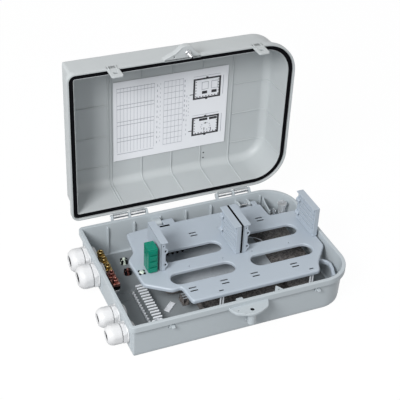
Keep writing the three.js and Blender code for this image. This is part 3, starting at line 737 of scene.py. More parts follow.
def milky(name, colour, roughness, clear):
    """Uncoloured plastic that lets some light through."""
    material, tree, shader, place = shader_base(name)
    cloud = noise(tree, place, 70.0)
    high = [min(c * 1.08, 1.0) for c in colour]
    tree.links.new(blend_colours(tree, cloud, colour, high), shader.inputs["Base Color"])
    shader.inputs["Transmission Weight"].default_value = clear
    shader.inputs["IOR"].default_value = 1.5
    tree.links.new(
        spread(tree, noise(tree, place, 200.0), roughness - 0.05, roughness + 0.1),
        shader.inputs["Roughness"])
    add_bump(tree, shader, noise(tree, place, 500.0), 0.1, 0.0003)
    return material


def rubber(name, colour):
    """Dull black rubber with a fine grain."""
    material, tree, shader, place = shader_base(name)
    cloud = noise(tree, place, 120.0)
    tree.links.new(
        blend_colours(tree, cloud, colour, [c * 1.8 for c in colour]), shader.inputs["Base Color"])
    shader.inputs["Roughness"].default_value = 0.88
    shader.inputs["Specular IOR Level"].default_value = 0.05
    add_bump(tree, shader, noise(tree, place, 1800.0), 0.25, 0.0002)
    return material


def knurled(name, colour, light):
    """Dark plastic with a coarse moulded texture."""
    material, tree, shader, place = shader_base(name)
    cells = tree.nodes.new("ShaderNodeTexVoronoi")
    cells.inputs["Scale"].default_value = 330.0
    tree.links.new(place, cells.inputs["Vector"])
    fac = spread(tree, cells.outputs["Distance"], 0.0, 1.0, 0.15, 0.75)
    tree.links.new(blend_colours(tree, fac, colour, light), shader.inputs["Base Color"])
    shader.inputs["Roughness"].default_value = 0.42
    add_bump(tree, shader, cells.outputs["Distance"], 0.5, 0.0006)
    return material


def paper(name, colour):
    """Smooth paper with faint fibres."""
    material, tree, shader, place = shader_base(name)
    fibre = noise(tree, place, 500.0, 5.0)
    tree.links.new(
        blend_colours(tree, fibre, [c * 0.97 for c in colour], colour), shader.inputs["Base Color"])
    shader.inputs["Roughness"].default_value = 0.7
    shader.inputs["Specular IOR Level"].default_value = 0.3
    add_bump(tree, shader, fibre, 0.08, 0.0002)
    return material


def ink(name, colour):
    """Print that is a little uneven."""
    material, tree, shader, place = shader_base(name)
    patch = noise(tree, place, 700.0)
    tree.links.new(
        blend_colours(tree, patch, colour, [min(c * 1.5 + 0.03, 1) for c in colour]),
        shader.inputs["Base Color"])
    shader.inputs["Roughness"].default_value = 0.8
    return material


def makers():
    """The function that makes each finish, with its colour and what it needs besides."""
    own = bpy.context.scene.fibre_box_finishes
    rough = own.box_roughness
    # the box grey at 0.52, painted shade for the floor lying deep inside the box
    shaded_floor_grey = [c * 0.52 for c in own.box_grey]
    return {
        BOX_GREY: (moulded, own.box_grey, rough),
        LID_GREY: (moulded, own.lid_grey, rough),
        PLATE_GREY: (moulded, own.plate_grey, rough - 0.04),
        FLOOR_SHADE_GREY: (moulded, shaded_floor_grey, 0.6, 0.08, 900, 0.2),
        COVER_GREY: (moulded, (0.40, 0.43, 0.46), 0.3, 0.12),
        NYLON: (moulded, own.nylon_white, 0.34, 0.03, 900, 0.08),
        GREEN: (moulded, own.adapter_green, 0.2, 0.16, 500, 0.08, 0.4),
        SEAM: (moulded, (0.001, 0.06, 0.036), 0.5, 0.1, 500, 0.08),
        PALE: (moulded, (0.66, 0.74, 0.65), 0.3, 0.12, 700, 0.1, 0.8),
        RUBBER: (rubber, (0.012, 0.012, 0.013)),
        SEAL: (rubber, (0.003, 0.003, 0.004)),
        PAPER: (paper, (0.87, 0.885, 0.92)),
        THIN_INK: (ink, (0.31, 0.32, 0.36)),
        BLACK_INK: (ink, (0.012, 0.012, 0.016)),
        ZINC: (plated, (0.62, 0.63, 0.65), 0.3, (0.4, 0.41, 0.42)),
        BRIGHT: (plated, (0.82, 0.83, 0.84), 0.2, (0.62, 0.63, 0.65)),
        BRASS: (plated, (0.56, 0.42, 0.18), 0.34, (0.14, 0.09, 0.03)),
        COPPER: (plated, (0.50, 0.24, 0.20), 0.34, (0.12, 0.045, 0.04)),
        CLEAR: (milky, (0.82, 0.85, 0.88), 0.15, 0.7),
        MILKY: (milky, (0.80, 0.83, 0.87), 0.3, 0.1),
        DARK: (knurled, (0.035, 0.032, 0.032), (0.17, 0.155, 0.148)),
    }


def finish(kind):
    """The material of that kind, made once."""
    found = bpy.data.materials.get(kind)
    if found:
        return found
    make, colour, *rest = makers()[kind]
    return make(kind, tuple(colour), *rest)


# ---------------------------------------------------------------- base
def wall_rings(profile, grown=0.0):
    """Rings round the box's outline, one for each (inset, height) pair."""
    return [[(x, y, z) for x, y in box_outline(inset, grown)] for inset, z in profile]


def base_shell():
    """Floor and walls, with the proud band round the rim."""
    profile = [
        (10.6, 0.0), (9.2, 0.2), (7.6, 1.2), (6.4, 3.2), (5.9, 8.0), (4.6, 49.0), (4.2, 49.9),
        (0.5, 50.1), (0.0, 50.7), (0.0, 58.8), (0.35, 59.6), (1.2, 60.0), (5.0, 60.0),
        (5.7, 59.7), (6.0, 59.0), (6.6, 52.0), (8.9, 7.0), (9.8, 4.2), (12.4, 3.2),
    ]
    return skin(wall_rings(profile))


def knuckle():
    """The hinge eye of the base, a flat hook under the lid's axis."""
    outline = [(121.5, 47.0), (129.0, 47.6)] + arc(*LID_AXIS, 4.2, -60, 150, 14)
    outline += [(130.9, 57.2), (124.6, 56.4)]
    return plate(outline, edge_profile(-1.75, 1.75, 0.4, 0.4), plane="yz")


def base_knuckles():
    """Three hinge eyes on each side."""
    parts = []
    for side in (-1, 1):
        first = shifted(knuckle(), x=side * KNUCKLE_X - KNUCKLE_STEP)
        parts += row([first], 3, (KNUCKLE_STEP, 0, 0), BOX_GREY)
    return parts


def lock_tab():
    """The tab that the lock screw goes through, with its lip, boss, web and keel."""
    eye = (circle(0, LOCK_Y, 3.0, 24), edge_profile(*LOCK_TAB, 0.4, 0.2))
    dimple = (circle(-19.8, -134, 1.3, 12), edge_profile(*LOCK_TAB, 0.3, 0.2))
    tab = plate(rounded(TAB_OUTLINE, 4), edge_profile(*LOCK_TAB, 1.0, 0.4), [eye, dimple])
    lip = bent_outline([(-30.4, -120), (-30.2, -127.4), (-24.6, -138.2), (-13, -143.8)], 1.6)
    raised = plate(lip, edge_profile(LOCK_TAB[1] - 0.2, LOCK_TAB[1] + 1.0, 0.5, 0.1))
    boss = shifted(turned([(3.0, 30), (5.3, 28), (6.0, 28.8), (6.6, 50), (3.0, 50)]), y=LOCK_Y)
    web = plate(
        [(-24, 50), (-20, 44), (-6, 29.5), (6, 29.5), (20, 44), (24, 50)],
        edge_profile(-130.6, -128.4, 0.5, 0.5), plane="xz")
    keel = plate(
        [(-119.6, 50), (-133.6, 50), (-132.8, 30), (-119.6, 16)],
        edge_profile(-1.6, 1.6, 0.5, 0.5), plane="yz")
    return [tab, raised, boss, web, keel]


def snap_nubs():
    """The ramps that the lid's tongues drop over, and the stop beside each."""
    parts = []
    z = TONGUE_EYE_Z
    for x in (-TONGUE_X, TONGUE_X):
        ramp = [
            (-118.0, z - 2.1), (-125.8, z - 2.1), (-126.6, z - 1.3), (-126.4, z - 0.3),
            (-121.6, z + 2.1), (-118.0, z + 2.1),
        ]
        parts.append(plate(ramp, edge_profile(x - 2.5, x + 2.5, 0.5, 0.5), plane="yz"))
        parts.append(block(x - 4.8, x - 2.2, -122.6, -119.6, z - 3.2, z + 4.2))
    return parts


def hinge_posts():
    """Posts that carry the swing plate's pins."""
    parts = []
    for x0, x1 in PLATE_POSTS:
        outline = [(118.6, 3.0), (118.6, 52.0), (113.0, 55.2)] + arc(*PLATE_AXIS, 5.0, 70, 180, 6)
        outline += [(101.8, 3.0)]
        parts.append(plate(outline, edge_profile(x0, x1, 0.5, 0.5), plane="yz"))
    return parts


def back_ribs(count):
    """Upright ribs on the hinge-side wall."""
    first = plate(
        [(119.2, 4.0), (119.4, 54.4), (116.6, 54.4), (114.4, 51.0), (113.6, 4.0)],
        edge_profile(-134.3, -131.9, 0.4, 0.4), plane="yz")
    return row([first], count, (BACK_RIB_RUN / count, 0, 0), BOX_GREY)


def corner_lug():
    """The pierced lug at the front wall, and the peg behind the lock tab."""
    eye = (circle(58, -107, 1.6, 14), edge_profile(47, 50, 0.3, 0.2))
    lug = rounded([(44, -119.2), (57, -97), (71, -119.2)], 3)
    return [
        plate(lug, edge_profile(47, 50, 0.6, 0.3), [eye]),
        block(-8, 2.5, -103, -98, FLOOR_SKIN[0], 44, 0.6),
    ]


def gland_bore(y, scale):
    """What is cut out of the wall for a gland's thread."""
    return lying(cylinder(13.8 * scale, -14, 6, 40), GLAND_FACE, y, GLAND_Z)


def gland_pads():
    """The raised flats that the glands are screwed to."""
    pads = []
    for y0, y1, glands in ((18, 112, GLANDS[:2]), (-113, -34, GLANDS[2:])):
        pad = block(GLAND_FACE, -171.8, y0, y1, 7, 51, 1.0)
        pads.append(carved(pad, [gland_bore(*gland) for gland in glands]))
    return pads


def base_cuts():
    """What is cut out of the shell: gland bores, fixing holes and pockets behind the nubs."""
    cuts = [gland_bore(*gland) for gland in GLANDS]
    for x, y in FIXING_HOLES:
        hole = turned([(0, -1), (2.6, -1), (2.6, 2.4), (4.4, 4.4), (0, 4.4)], 20)
        cuts.append(shifted(hole, x, y))
    z = TONGUE_EYE_Z
    for x in (-TONGUE_X, TONGUE_X):
        cuts.append(block(x - 6.0, x + 3.8, -126, -118.9, z - 4.6, z + 5, 0.8))
    return cuts


def shaded_base_floor():
    """The textured face of the floor and the moulded ring near the glands, in the floor grey
    darkened as painted shade.
    """
    skin_heights = [(0.0, z) for z in FLOOR_SKIN]
    eyes = [(circle(x, y, 5.0, 24), skin_heights) for x, y in FIXING_HOLES]
    ring = turned([(9.6, 3.2), (10.6, 3.2), (10.5, 3.8), (9.7, 3.8)], 40)
    return [plate(box_outline(12.8), skin_heights, eyes), shifted(ring, x=-144.5, y=6)]


class FIBREBOX_OT_base_tray(bpy.types.Operator):
    """Base with its rim band, hinge eyes, lock tab, snap nubs, ribs and posts"""
    bl_idname = "fibrebox.base_tray"
    bl_label = "Base tray"

    def execute(self, context):
        pads = gland_pads()
        shell = carved(base_shell(), base_cuts())
        piece("base_shell", [shell, *pads], BOX_GREY, "base", ["base_tray"])
        fittings = back_ribs(context.scene.fibre_box_sizes.back_ribs) + base_knuckles()
        fittings += lock_tab() + snap_nubs() + hinge_posts() + corner_lug()
        piece("base_fittings", fittings, BOX_GREY, "base")
        piece("shaded_base_floor", shaded_base_floor(), FLOOR_SHADE_GREY, "base")
        # A black sleeve inside the lock tab's bore: painted shade that makes the hole look dark.
        bore_shade = turned([(2.75, 31), (2.98, 31), (2.98, 52.9), (2.75, 52.9)], 24)
        piece("lock_tab_bore_shade", [shifted(bore_shade, y=LOCK_Y)], SEAL, "base")
        return {"FINISHED"}


# ---------------------------------------------------------------- lid
def lid_shell_part():
    """The lid's wall from its top round to the rim, and back up the inside."""
    outside = arc(25, LID_CURVE, 16, 90, 180, 9)
    rim = [
        (7.2, 69.0), (6.2, 67.9), (1.6, 67.6), (0.5, 67.0), (0.0, 65.8), (0.0, 58.3), (0.4, 57.5),
        (2.6, 57.5), (3.2, 58.2), (3.4, 63.5), (10.2, 63.5), (10.4, 60.9), (10.8, 60.6),
        (11.2, 61.0), (12.0, LID_CURVE),
    ]
    inside = arc(25, LID_CURVE, 13, 170, 90, 8)
    return skin(wall_rings(outside + rim + inside, OVERLAP))


def lid_rib_path(x):
    """From the rim on the hinge side, round the inside of the lid, to the far rim."""
    section = [(119.0, 61.5)] + arc(105, LID_CURVE, LID_RIB_CURVE, 0, 90, 9)
    section += arc(-105, LID_CURVE, LID_RIB_CURVE, 90, 180, 9) + [(-119.0, 61.5)]
    return [(x, y, z) for y, z in section]


def lid_cross_rib_path(side, start):
    """From near the label, round the inside of the lid, to the rim at one end."""
    section = [(start, LID_CURVE + LID_RIB_CURVE)] + arc(160, LID_CURVE, LID_RIB_CURVE, 90, 0, 9)
    return [(side * x, -86, z) for x, z in section + [(173.2, 61.8)]]


def lid_ribs(width):
    radius, thin = width / 2, width / 2 * 0.8
    parts = ribs(lid_rib_path(-98), radius, 5, (51.75, 0, 0), LID_GREY)
    parts += ribs(lid_rib_path(-102.4), thin, 1, (0, 0, 0), LID_GREY)
    for side, start in ((-1, 104), (1, 112)):
        parts += ribs(lid_cross_rib_path(side, start), thin, 4, (0, 56, 0), LID_GREY)
    return parts


def lid_marks():
    """Ejector marks inside the lid's top and one oval moulding mark."""
    low, high = LID_CEILING - 0.25, LID_CEILING + 0.1
    marks = []
    for x, y in ((138, 91), (154, -4), (-28, 93), (-143, 88), (-151, 3)):
        ring = turned([(1.5, low), (2.6, low), (2.6, high), (1.5, high)], 24)
        marks.append(shifted(ring, x, y))
    oval = plate(bent_outline([(64, 90), (64, 104)], 6), [(0.0, low), (0.0, high)])
    return marks + [oval]


def lid_tongues():
    """The two snap tongues, each with an eye and two stiffening ribs."""
    parts = []
    for x in (-TONGUE_X, TONGUE_X):
        eye = rectangle(x - 3.4, x + 3.4, TONGUE_EYE_Z - 2.9, TONGUE_EYE_Z + 2.9, 0.8)
        left, right = x - TONGUE_HALF, x + TONGUE_HALF
        outline = [
            (left, 66), (left, 36), (left + 2, 33.5), (right - 2, 33.5), (right, 36), (right, 66),
        ]
        hole = (eye, edge_profile(*TONGUE_FACE, 0.3, 0.3))
        parts.append(plate(outline, edge_profile(*TONGUE_FACE, 0.4, 0.5), [hole], "xz"))
        for side in (-6.0, 6.0):
            parts.append(block(x + side - 0.8, x + side + 0.8, -130.9, -129.6, 49.5, 66.0, 0.4))
    return parts


def lid_lock_tab():
    """The lid's tab with its ridge, bored for the lock screw."""
    dimple = (circle(-20.5, -132.5, 1.4, 12), edge_profile(*LID_TAB, 0.3, 0.4))
    tab = plate(rounded(LID_TAB_OUTLINE, 5), edge_profile(*LID_TAB, 1.6, 0.7), [dimple])
    path = [(-37, -127.6), (-36.4, -130.6), (-18.5, -138.4), (-9.2, -146.6)]
    ridge = plate(bent_outline(path, 2.0), edge_profile(56.7, 58.2, 0.4, 0.5))
    bore = turned([(0, 50), (2.8, 50), (2.8, 61.5), (6, 61.5), (6, 70), (0, 70)], 28)
    return [carved(part, [shifted(bore, y=LOCK_Y)]) for part in (tab, ridge)]


def hinge_middles():
    """The x of each of the lid's four hinge lengths."""
    return [side * KNUCKLE_X + half * KNUCKLE_STEP / 2 for side in (-1, 1) for half in (-1, 1)]


def lid_leaves():
    """The straps that join the hinge lengths to the lid."""
    return [block(x - 12.2, x + 12.2, 128.8, 136.4, 58.9, 60.8) for x in hinge_middles()]


class FIBREBOX_OT_lid(bpy.types.Operator):
    """Lid shell with its inner ribs, snap tongues and lock tab, standing open"""
    bl_idname = "fibrebox.lid"
    bl_label = "Lid"

    def execute(self, context):
        shell = [lid_shell_part()]
        piece("lid_shell_skin", shell, LID_GREY, "lid", ["lid_shell"], LID_OPEN)
        ribs_and_tongues = lid_ribs(context.scene.fibre_box_sizes.rib_width / MM)
        ribs_and_tongues += lid_tongues() + lid_leaves()
        dots = [shifted(cylinder(1.2, 123.9, 124.4, 14), x=64, y=y) for y in (92, 102)]
        for name, parts, kind in (
                ("lid_lock_tab", lid_lock_tab(), LID_GREY),
                ("lid_ribs_and_tongues", ribs_and_tongues, LID_GREY),
                ("lid_marks", lid_marks(), LID_GREY),
                ("lid_mark_dots", dots, SEAL)):
            piece(name, parts, kind, "lid", matrix=LID_OPEN)
        return {"FINISHED"}


class FIBREBOX_OT_lid_gasket(bpy.types.Operator):
    """Black gasket in the channel round the lid's rim"""
    bl_idname = "fibrebox.lid_gasket"
    bl_label = "Lid gasket"

    def execute(self, context):
        section = [(4.0, 60.6), (4.6, 60.02), (9.3, 60.02), (9.9, 60.5), (9.8, 63.2), (4.0, 63.2)]
        ring = skin(wall_rings(section, OVERLAP), around=True)
        piece("gasket_ring", [ring], SEAL, "lid", ["lid_gasket"], LID_OPEN)
        return {"FINISHED"}


LABEL_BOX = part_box("lid_label")
LABEL_LEFT, LABEL_TOP, LABEL_FACE = LABEL_BOX[0].x / MM, -68, 122.6
LABEL_WIDTH, LABEL_HEIGHT = (LABEL_BOX[1].x - LABEL_BOX[0].x) / MM, 144.0


def label_bar(s0, s1, t0, t1):
    """A printed bar. Its place (s, t) is a share of the sheet, from the top left corner."""
    x0, x1 = LABEL_LEFT + s0 * LABEL_WIDTH, LABEL_LEFT + s1 * LABEL_WIDTH
    y0, y1 = LABEL_TOP + t0 * LABEL_HEIGHT, LABEL_TOP + t1 * LABEL_HEIGHT
    return block(x0, x1, y0, y1, LABEL_FACE - 0.08, LABEL_FACE + 0.02, 0.0)


def label_tables(columns):
    """The rules, short dashes and side marks of the sheet's two plain tables."""
    thin = 0.0022
    rows = (    # first bar, how many, and the step to the next
        ((0.030, 0.030 + thin, 0.075, 0.892), columns, 0.32 / (columns - 1), 0),
        ((0.03, 0.35, 0.080, 0.086), 5, 0, 0.2075),
        ((0.03, 0.35, 0.124, 0.130), 4, 0, 0.2085),
        ((0.433, 0.433 + thin, 0.08, 0.89), 6, 0.0335, 0),
        ((0.433, 0.60, 0.08, 0.0845), 12, 0, 0.0735),
        ((0.374, 0.379, 0.10, 0.13), 12, 0, 0.066),
        ((0.388, 0.391, 0.12, 0.135), 6, 0, 0.131),
        ((0.612, 0.618, 0.10, 0.13), 9, 0, 0.062),
        ((0.402, 0.405, 0.09, 0.112), 14, 0, 0.056),
        ((0.634, 0.638, 0.30, 0.325), 9, 0, 0.062),
        ((0.652, 0.656, 0.33, 0.345), 6, 0, 0.045),
    )
    parts = []
    for first, count, step_s, step_t in rows:
        step = (step_s * LABEL_WIDTH, step_t * LABEL_HEIGHT, 0)
        parts += row([label_bar(*first)], count, step, THIN_INK)
    for t in (0.085, 0.58):
        parts += [label_bar(0.69, 0.93, t, t + 0.004), label_bar(0.955, 0.959, t + 0.03, t + 0.27)]
    return parts


def label_boxes():
    """Two thick box outlines with black squares, bars and dots inside, and their thin lines."""
    dark, pale = [], []
    s0, s1 = 0.69, 0.935
    for t0, t1 in ((0.114, 0.376), (0.608, 0.850)):
        dark += [label_bar(*sides) for sides in (
            (s0, s1, t0, t0 + 0.02), (s0, s1, t1 - 0.02, t1),
            (s0, s0 + 0.016, t0, t1), (s1 - 0.016, s1, t0, t1),
            (s0 - 0.03, s0, t1 - 0.075, t1 - 0.066),
            (0.80, 0.82, t0 - 0.012, t0), (0.80, 0.82, t1, t1 + 0.012))]
        for first, count, step in (
                ((s0 + 0.02, s0 + 0.028, t0 + 0.035, t0 + 0.045), 6, (0, 5.3, 0)),
                ((s0 + 0.03, s0 + 0.041, t1 - 0.035, t1 - 0.024), 8, (5.2, 0, 0)),
                ((s1 - 0.024, s1 - 0.017, t0 + 0.04, t0 + 0.05), 6, (0, 5.0, 0))):
            dark += row([label_bar(*first)], count, step, BLACK_INK)
    for s in (0.765, 0.85):
        pale += [label_bar(*sides) for sides in (
            (s, s + 0.06, 0.165, 0.171), (s, s + 0.06, 0.255, 0.261),
            (s, s + 0.004, 0.165, 0.26), (s + 0.056, s + 0.06, 0.165, 0.26))]
        dark.append(label_bar(s + 0.004, s + 0.05, 0.28, 0.315))
    dark += [label_bar(s, s_end, 0.634, 0.664) for s, s_end in ((0.755, 0.83), (0.845, 0.915))]
    for k in range(10):
        angle = 2 * math.pi * k / 10
        s, t = 0.812 + 0.042 * math.cos(angle), 0.74 + 0.045 * math.sin(angle)
        pale.append(label_bar(s, s + 0.008, t, t + 0.012))
    dark += [label_bar(*sides) for sides in (
        (0.808, 0.82, 0.695, 0.71), (0.80, 0.806, 0.76, 0.80), (0.86, 0.866, 0.77, 0.81))]
    return dark, pale


class FIBREBOX_OT_lid_label(bpy.types.Operator):
    """Sheet stuck inside the lid, printed with plain tables and generic box outlines"""
    bl_idname = "fibrebox.lid_label"
    bl_label = "Lid label"

    def execute(self, context):
        refinish(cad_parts["lid_label"], PAPER)
        tables = label_tables(context.scene.fibre_box_sizes.label_lines)
        dark, pale = label_boxes()
        for name, parts, kind in (
                ("label_tables", tables + pale, THIN_INK), ("label_outlines", dark, BLACK_INK)):
            piece(name, parts, kind, "lid", matrix=LID_OPEN)
        return {"FINISHED"}


def hinge_rod(name, x0, x1, axis, sides, kind):
    """A chamfered pin on a hinge line, in place of the CAD's pin of that name."""
    half = (x1 - x0) / 2
    profile = [
        (0, -half), (1.2, -half), (1.5, 0.4 - half), (1.5, half - 0.4), (1.2, half), (0, half)]
    rod = lying(turned(profile, sides), (x0 + x1) / 2, *axis)
    piece(name.replace("pin", "rod"), [rod], kind, "base", [name])


class FIBREBOX_OT_lid_hinges(bpy.types.Operator):
    """Hinge sleeves on the lid and the pins they turn on"""
    bl_idname = "fibrebox.lid_hinges"
    bl_label = "Lid hinges"

    def execute(self, context):
        sleeve = turned([
            (1.8, -12.2), (3.1, -12.2), (3.6, -11.6), (3.6, 11.6), (3.1, 12.2), (1.8, 12.2)], 24)
        sleeves = [lying(sleeve, x, *LID_AXIS) for x in hinge_middles()]
        piece("hinge_sleeves", sleeves, BRIGHT, "lid")
        for name, x in (("lid_hinge_pin_left", -KNUCKLE_X), ("lid_hinge_pin_right", KNUCKLE_X)):
            hinge_rod(name, x - 31.5, x + 31.5, LID_AXIS, 20, BRIGHT)
        return {"FINISHED"}


class FIBREBOX_OT_lock_screw(bpy.types.Operator):
    """Captive lock screw through the lid's tab"""
    bl_idname = "fibrebox.lock_screw"
    bl_label = "Lock screw"

    def execute(self, context):
        seat = 61.8
        head = turned([
            (0, seat), (4.6, seat), (5.0, seat + 0.4), (5.0, seat + 4.0), (4.4, seat + 5.4),
            (2.9, seat + 6.0), (1.3, seat + 6.0), (1.3, seat + 4.2), (0, seat + 4.2)])
        shank = turned([(0, 40.4), (1.5, 40.4), (2.3, 41.4), (2.3, 62.4), (0, 62.4)], 24)
        thread = turned([(2.2, 43.0), (2.62, 43.5), (2.2, 44.0)], 20)
        threads = row([thread], 8, (0, 0, 1.1), BRIGHT)
        collar = turned([
            (2.25, 54.3), (3.9, 54.3), (4.6, 55.0), (4.6, 56.6), (4.1, 57.2), (2.25, 57.2)])
        parts = [shifted(p, y=LOCK_Y) for p in (head, shank, collar, *threads)]
        piece("lock_screw_turned", parts, ZINC, "lock_screw", ["lock_screw"], LID_OPEN)
        # A black disc on the end of the shank: painted shade for the dark socket in the screw's
        # tip.
        socket = shifted(cylinder(1.5, 40.1, 40.7, 20), y=LOCK_Y)
        piece("lock_screw_tip_shade", [socket], SEAL, "lock_screw", matrix=LID_OPEN)
        return {"FINISHED"}


# ---------------------------------------------------------------- glands, as (radius, distance out)
GLAND_FLANGE = ((9.4, 0.3), (19.6, 0.3), (20.0, 0.7), (20.0, 1.6), (19.5, 2.2), (9.4, 2.2))
GLAND_COLLAR = (
    (9.4, 2.0), (18.6, 2.0), (20.2, 2.8), (20.4, 3.4), (20.4, 7.2), (19.4, 8.6), (9.4, 8.6),
)
GLAND_THREAD = (
    (9.4, -12.0), (12.8, -12.0), (13.3, -11.5), (13.3, 1.0), (13.0, 8.0), (13.0, 15.6),
    (12.6, 16.0), (9.4, 16.0),
)
GLAND_NUT = (
    (13.4, 9.4), (17.9, 9.4), (18.7, 10.0), (19.0, 11.0), (18.9, 20.0), (18.5, 22.6), (17.6, 25.0),
    (16.0, 27.4), (14.0, 29.2), (12.0, 30.2), (10.6, 30.5), (9.6, 30.1), (9.2, 29.2), (9.2, 27.5),
    (13.4, 21.5),
)
GLAND_SEAL = (
    (5.5, 16.4), (12.9, 16.4), (12.9, 21.0), (8.7, 27.0), (8.6, 28.2), (8.0, 28.5), (5.5, 28.5),
)


def gland_part(profile, gland, sides=72, facet=None):
    """A turned part of a gland, at that gland's scale and in its place on the wall."""
    y, scale = gland
    solid = turned([(r * scale, h) for r, h in profile], sides, facet * scale if facet else None)
    return lying(solid, GLAND_FACE, y, GLAND_Z)


class FIBREBOX_OT_glands(bpy.types.Operator):
    """Cable glands: flanged bodies, domed nuts, seals and locknuts"""
    bl_idname = "fibrebox.glands"
    bl_label = "Cable glands"

    def execute(self, context):
        for i, gland in enumerate(GLANDS, 1):
            body = [
                gland_part(GLAND_FLANGE, gland), gland_part(GLAND_COLLAR, gland, facet=17.9),
                gland_part(GLAND_THREAD, gland),
            ]
            nut = [gland_part(GLAND_NUT, gland, facet=18.2)]
            seal = [gland_part(GLAND_SEAL, gland, 40)]
            piece(f"gland_{i}_body", body, NYLON, "base", [f"gland_body_{i}"])
            piece(f"gland_{i}_nut", nut, NYLON, f"gland_nut_{i}",
                  [f"gland_nut_{i}"])
            piece(f"gland_{i}_seal", seal, SEAL, "base", [f"gland_seal_{i}"])
            refinish(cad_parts[f"gland_locknut_{i}"], NYLON)
        return {"FINISHED"}


# ---------------------------------------------------------------- cable fixing inside the base
def clamp():
    """One cable clamp: its metal parts, and the dark foot that they stand on."""
    low = RAIL[1] + 0.3
    shoulder = low + 5.0
    hollow = [(0.3, shoulder), (0.0, low + 5.3), (0.0, low + 9.6), (0.4, low + 10.0)]
    foot = plate(rectangle(-6, 6, -7.4, 7.4, 0.8), edge_profile(low, shoulder, 0.5, 0.4))
    rim = plate(
        rectangle(-5.8, 5.8, -7.2, 7.2, 0.8), edge_profile(shoulder, low + 10.0, 0.7, 0.3),
        [(circle(0, 0, 3.4, 24), hollow)])
    collar = turned([
        (2.8, low + 7.6), (4.8, low + 7.6), (4.8, low + 14.2), (4.1, low + 15.0), (3.2, low + 15.0),
        (2.8, low + 14.5)], 28)
    screw = turned([
        (0, low + 7.6), (2.5, low + 7.6), (2.5, low + 10.6), (2.1, low + 11.0),
        (0, low + 11.0)], 20)
    return [rim, collar, screw], foot


def clamp_rail():
    """The pierced strip under the clamps, on its two legs."""
    y0, y1 = CLAMP_Y - 10, CLAMP_Y + (CLAMP_COUNT - 1) * CLAMP_PITCH + 10
    eyes = [(circle(CLAMP_X, CLAMP_Y + CLAMP_PITCH * i, 2.2, 12), edge_profile(*RAIL, 0.2, 0.2))
            for i in range(CLAMP_COUNT)]
    outline = rectangle(CLAMP_X - 4.5, CLAMP_X + 4.5, y0, y1, 1.5)
    legs = [block(CLAMP_X - 3, CLAMP_X + 3, y, y + 5, ON_FLOOR, 22.4) for y in (y0, y1 - 5)]
    return [plate(outline, edge_profile(*RAIL, 0.5, 0.3), eyes), *legs]


def earth_clamp():
    """A low terminal stud: a flanged foot, a nut and a domed top."""
    base = turned([(0, ON_FLOOR), (5.6, ON_FLOOR), (6.0, 3.7), (6.0, 5.0), (0, 5.0)], 24)
    nut = turned([(0, 4.9), (4.4, 4.9), (4.8, 5.4), (4.8, 8.8), (4.4, 9.3), (0, 9.3)], 24, 4.3)
    top = turned([(0, 9.2), (2.4, 9.2), (2.6, 9.6), (2.5, 12.8), (1.9, 13.7), (0, 14.0)], 24)
    return [base, nut, top]


def dark_lobes(place, low, high):
    """Four black lugs round a screw."""
    parts = []
    for degrees in (40, 130, 220, 310):
        turn = Matrix.Translation((*place, 0)) @ Matrix.Rotation(math.radians(degrees), 4, "Z")
        parts.append(moved(block(2.6, 6.4, -1.7, 1.7, low, high), turn))
    return parts


def pan_head(x, y, seat):
    """A small screw with a hollow in its rounded head."""
    head = turned([
        (0, seat + 0.3), (3.7, seat + 0.3), (3.9, seat + 0.6), (3.8, seat + 1.6), (3.0, seat + 2.5),
        (1.6, seat + 2.9), (0.9, seat + 2.9), (0.9, seat + 1.7), (0, seat + 1.7)], 28)
    return [shifted(head, x, y), shifted(cylinder(1.8, seat - 3, seat + 0.5, 16), x, y)]


class FIBREBOX_OT_cable_clamps(bpy.types.Operator):
    """Bar of cable clamps behind the glands and the two earth studs"""
    bl_idname = "fibrebox.cable_clamps"
    bl_label = "Cable clamps"

    def execute(self, context):
        piece("clamp_rail", clamp_rail(), ZINC, "base", ["clamp_bar"])
        step = (0, CLAMP_PITCH, 0)
        metal_parts, foot = clamp()
        feet = row([shifted(foot, CLAMP_X, CLAMP_Y)], CLAMP_COUNT, step, SEAL)
        piece("clamp_feet", feet, SEAL, "base")
        for name, kind, slot, numbers in (
                ("copper_clamps", COPPER, "copper_metal", (1, 2)),
                ("brass_clamps", BRASS, "brass_metal", (3, 4, 5))):
            y = CLAMP_Y + (numbers[0] - 1) * CLAMP_PITCH
            first = [shifted(p, CLAMP_X, y) for p in metal_parts]
            piece(name, row(first, len(numbers), step, kind), kind, "base",
                  [f"clamp_stud_{i}" for i in numbers])
        finishes = ((PALE, "brass_metal"), (COPPER, "copper_metal"))
        for i, (place, (kind, slot)) in enumerate(zip(EARTH_STUDS, finishes), 1):
            stud = [shifted(p, *place) for p in earth_clamp()]
            piece(f"earth_stud_{i}_turned", stud, kind, "base", [f"earth_stud_{i}"])
            lugs = dark_lobes(place, ON_FLOOR, 10.4)
            piece(f"earth_stud_{i}_lugs", lugs, SEAL, "base")
        return {"FINISHED"}


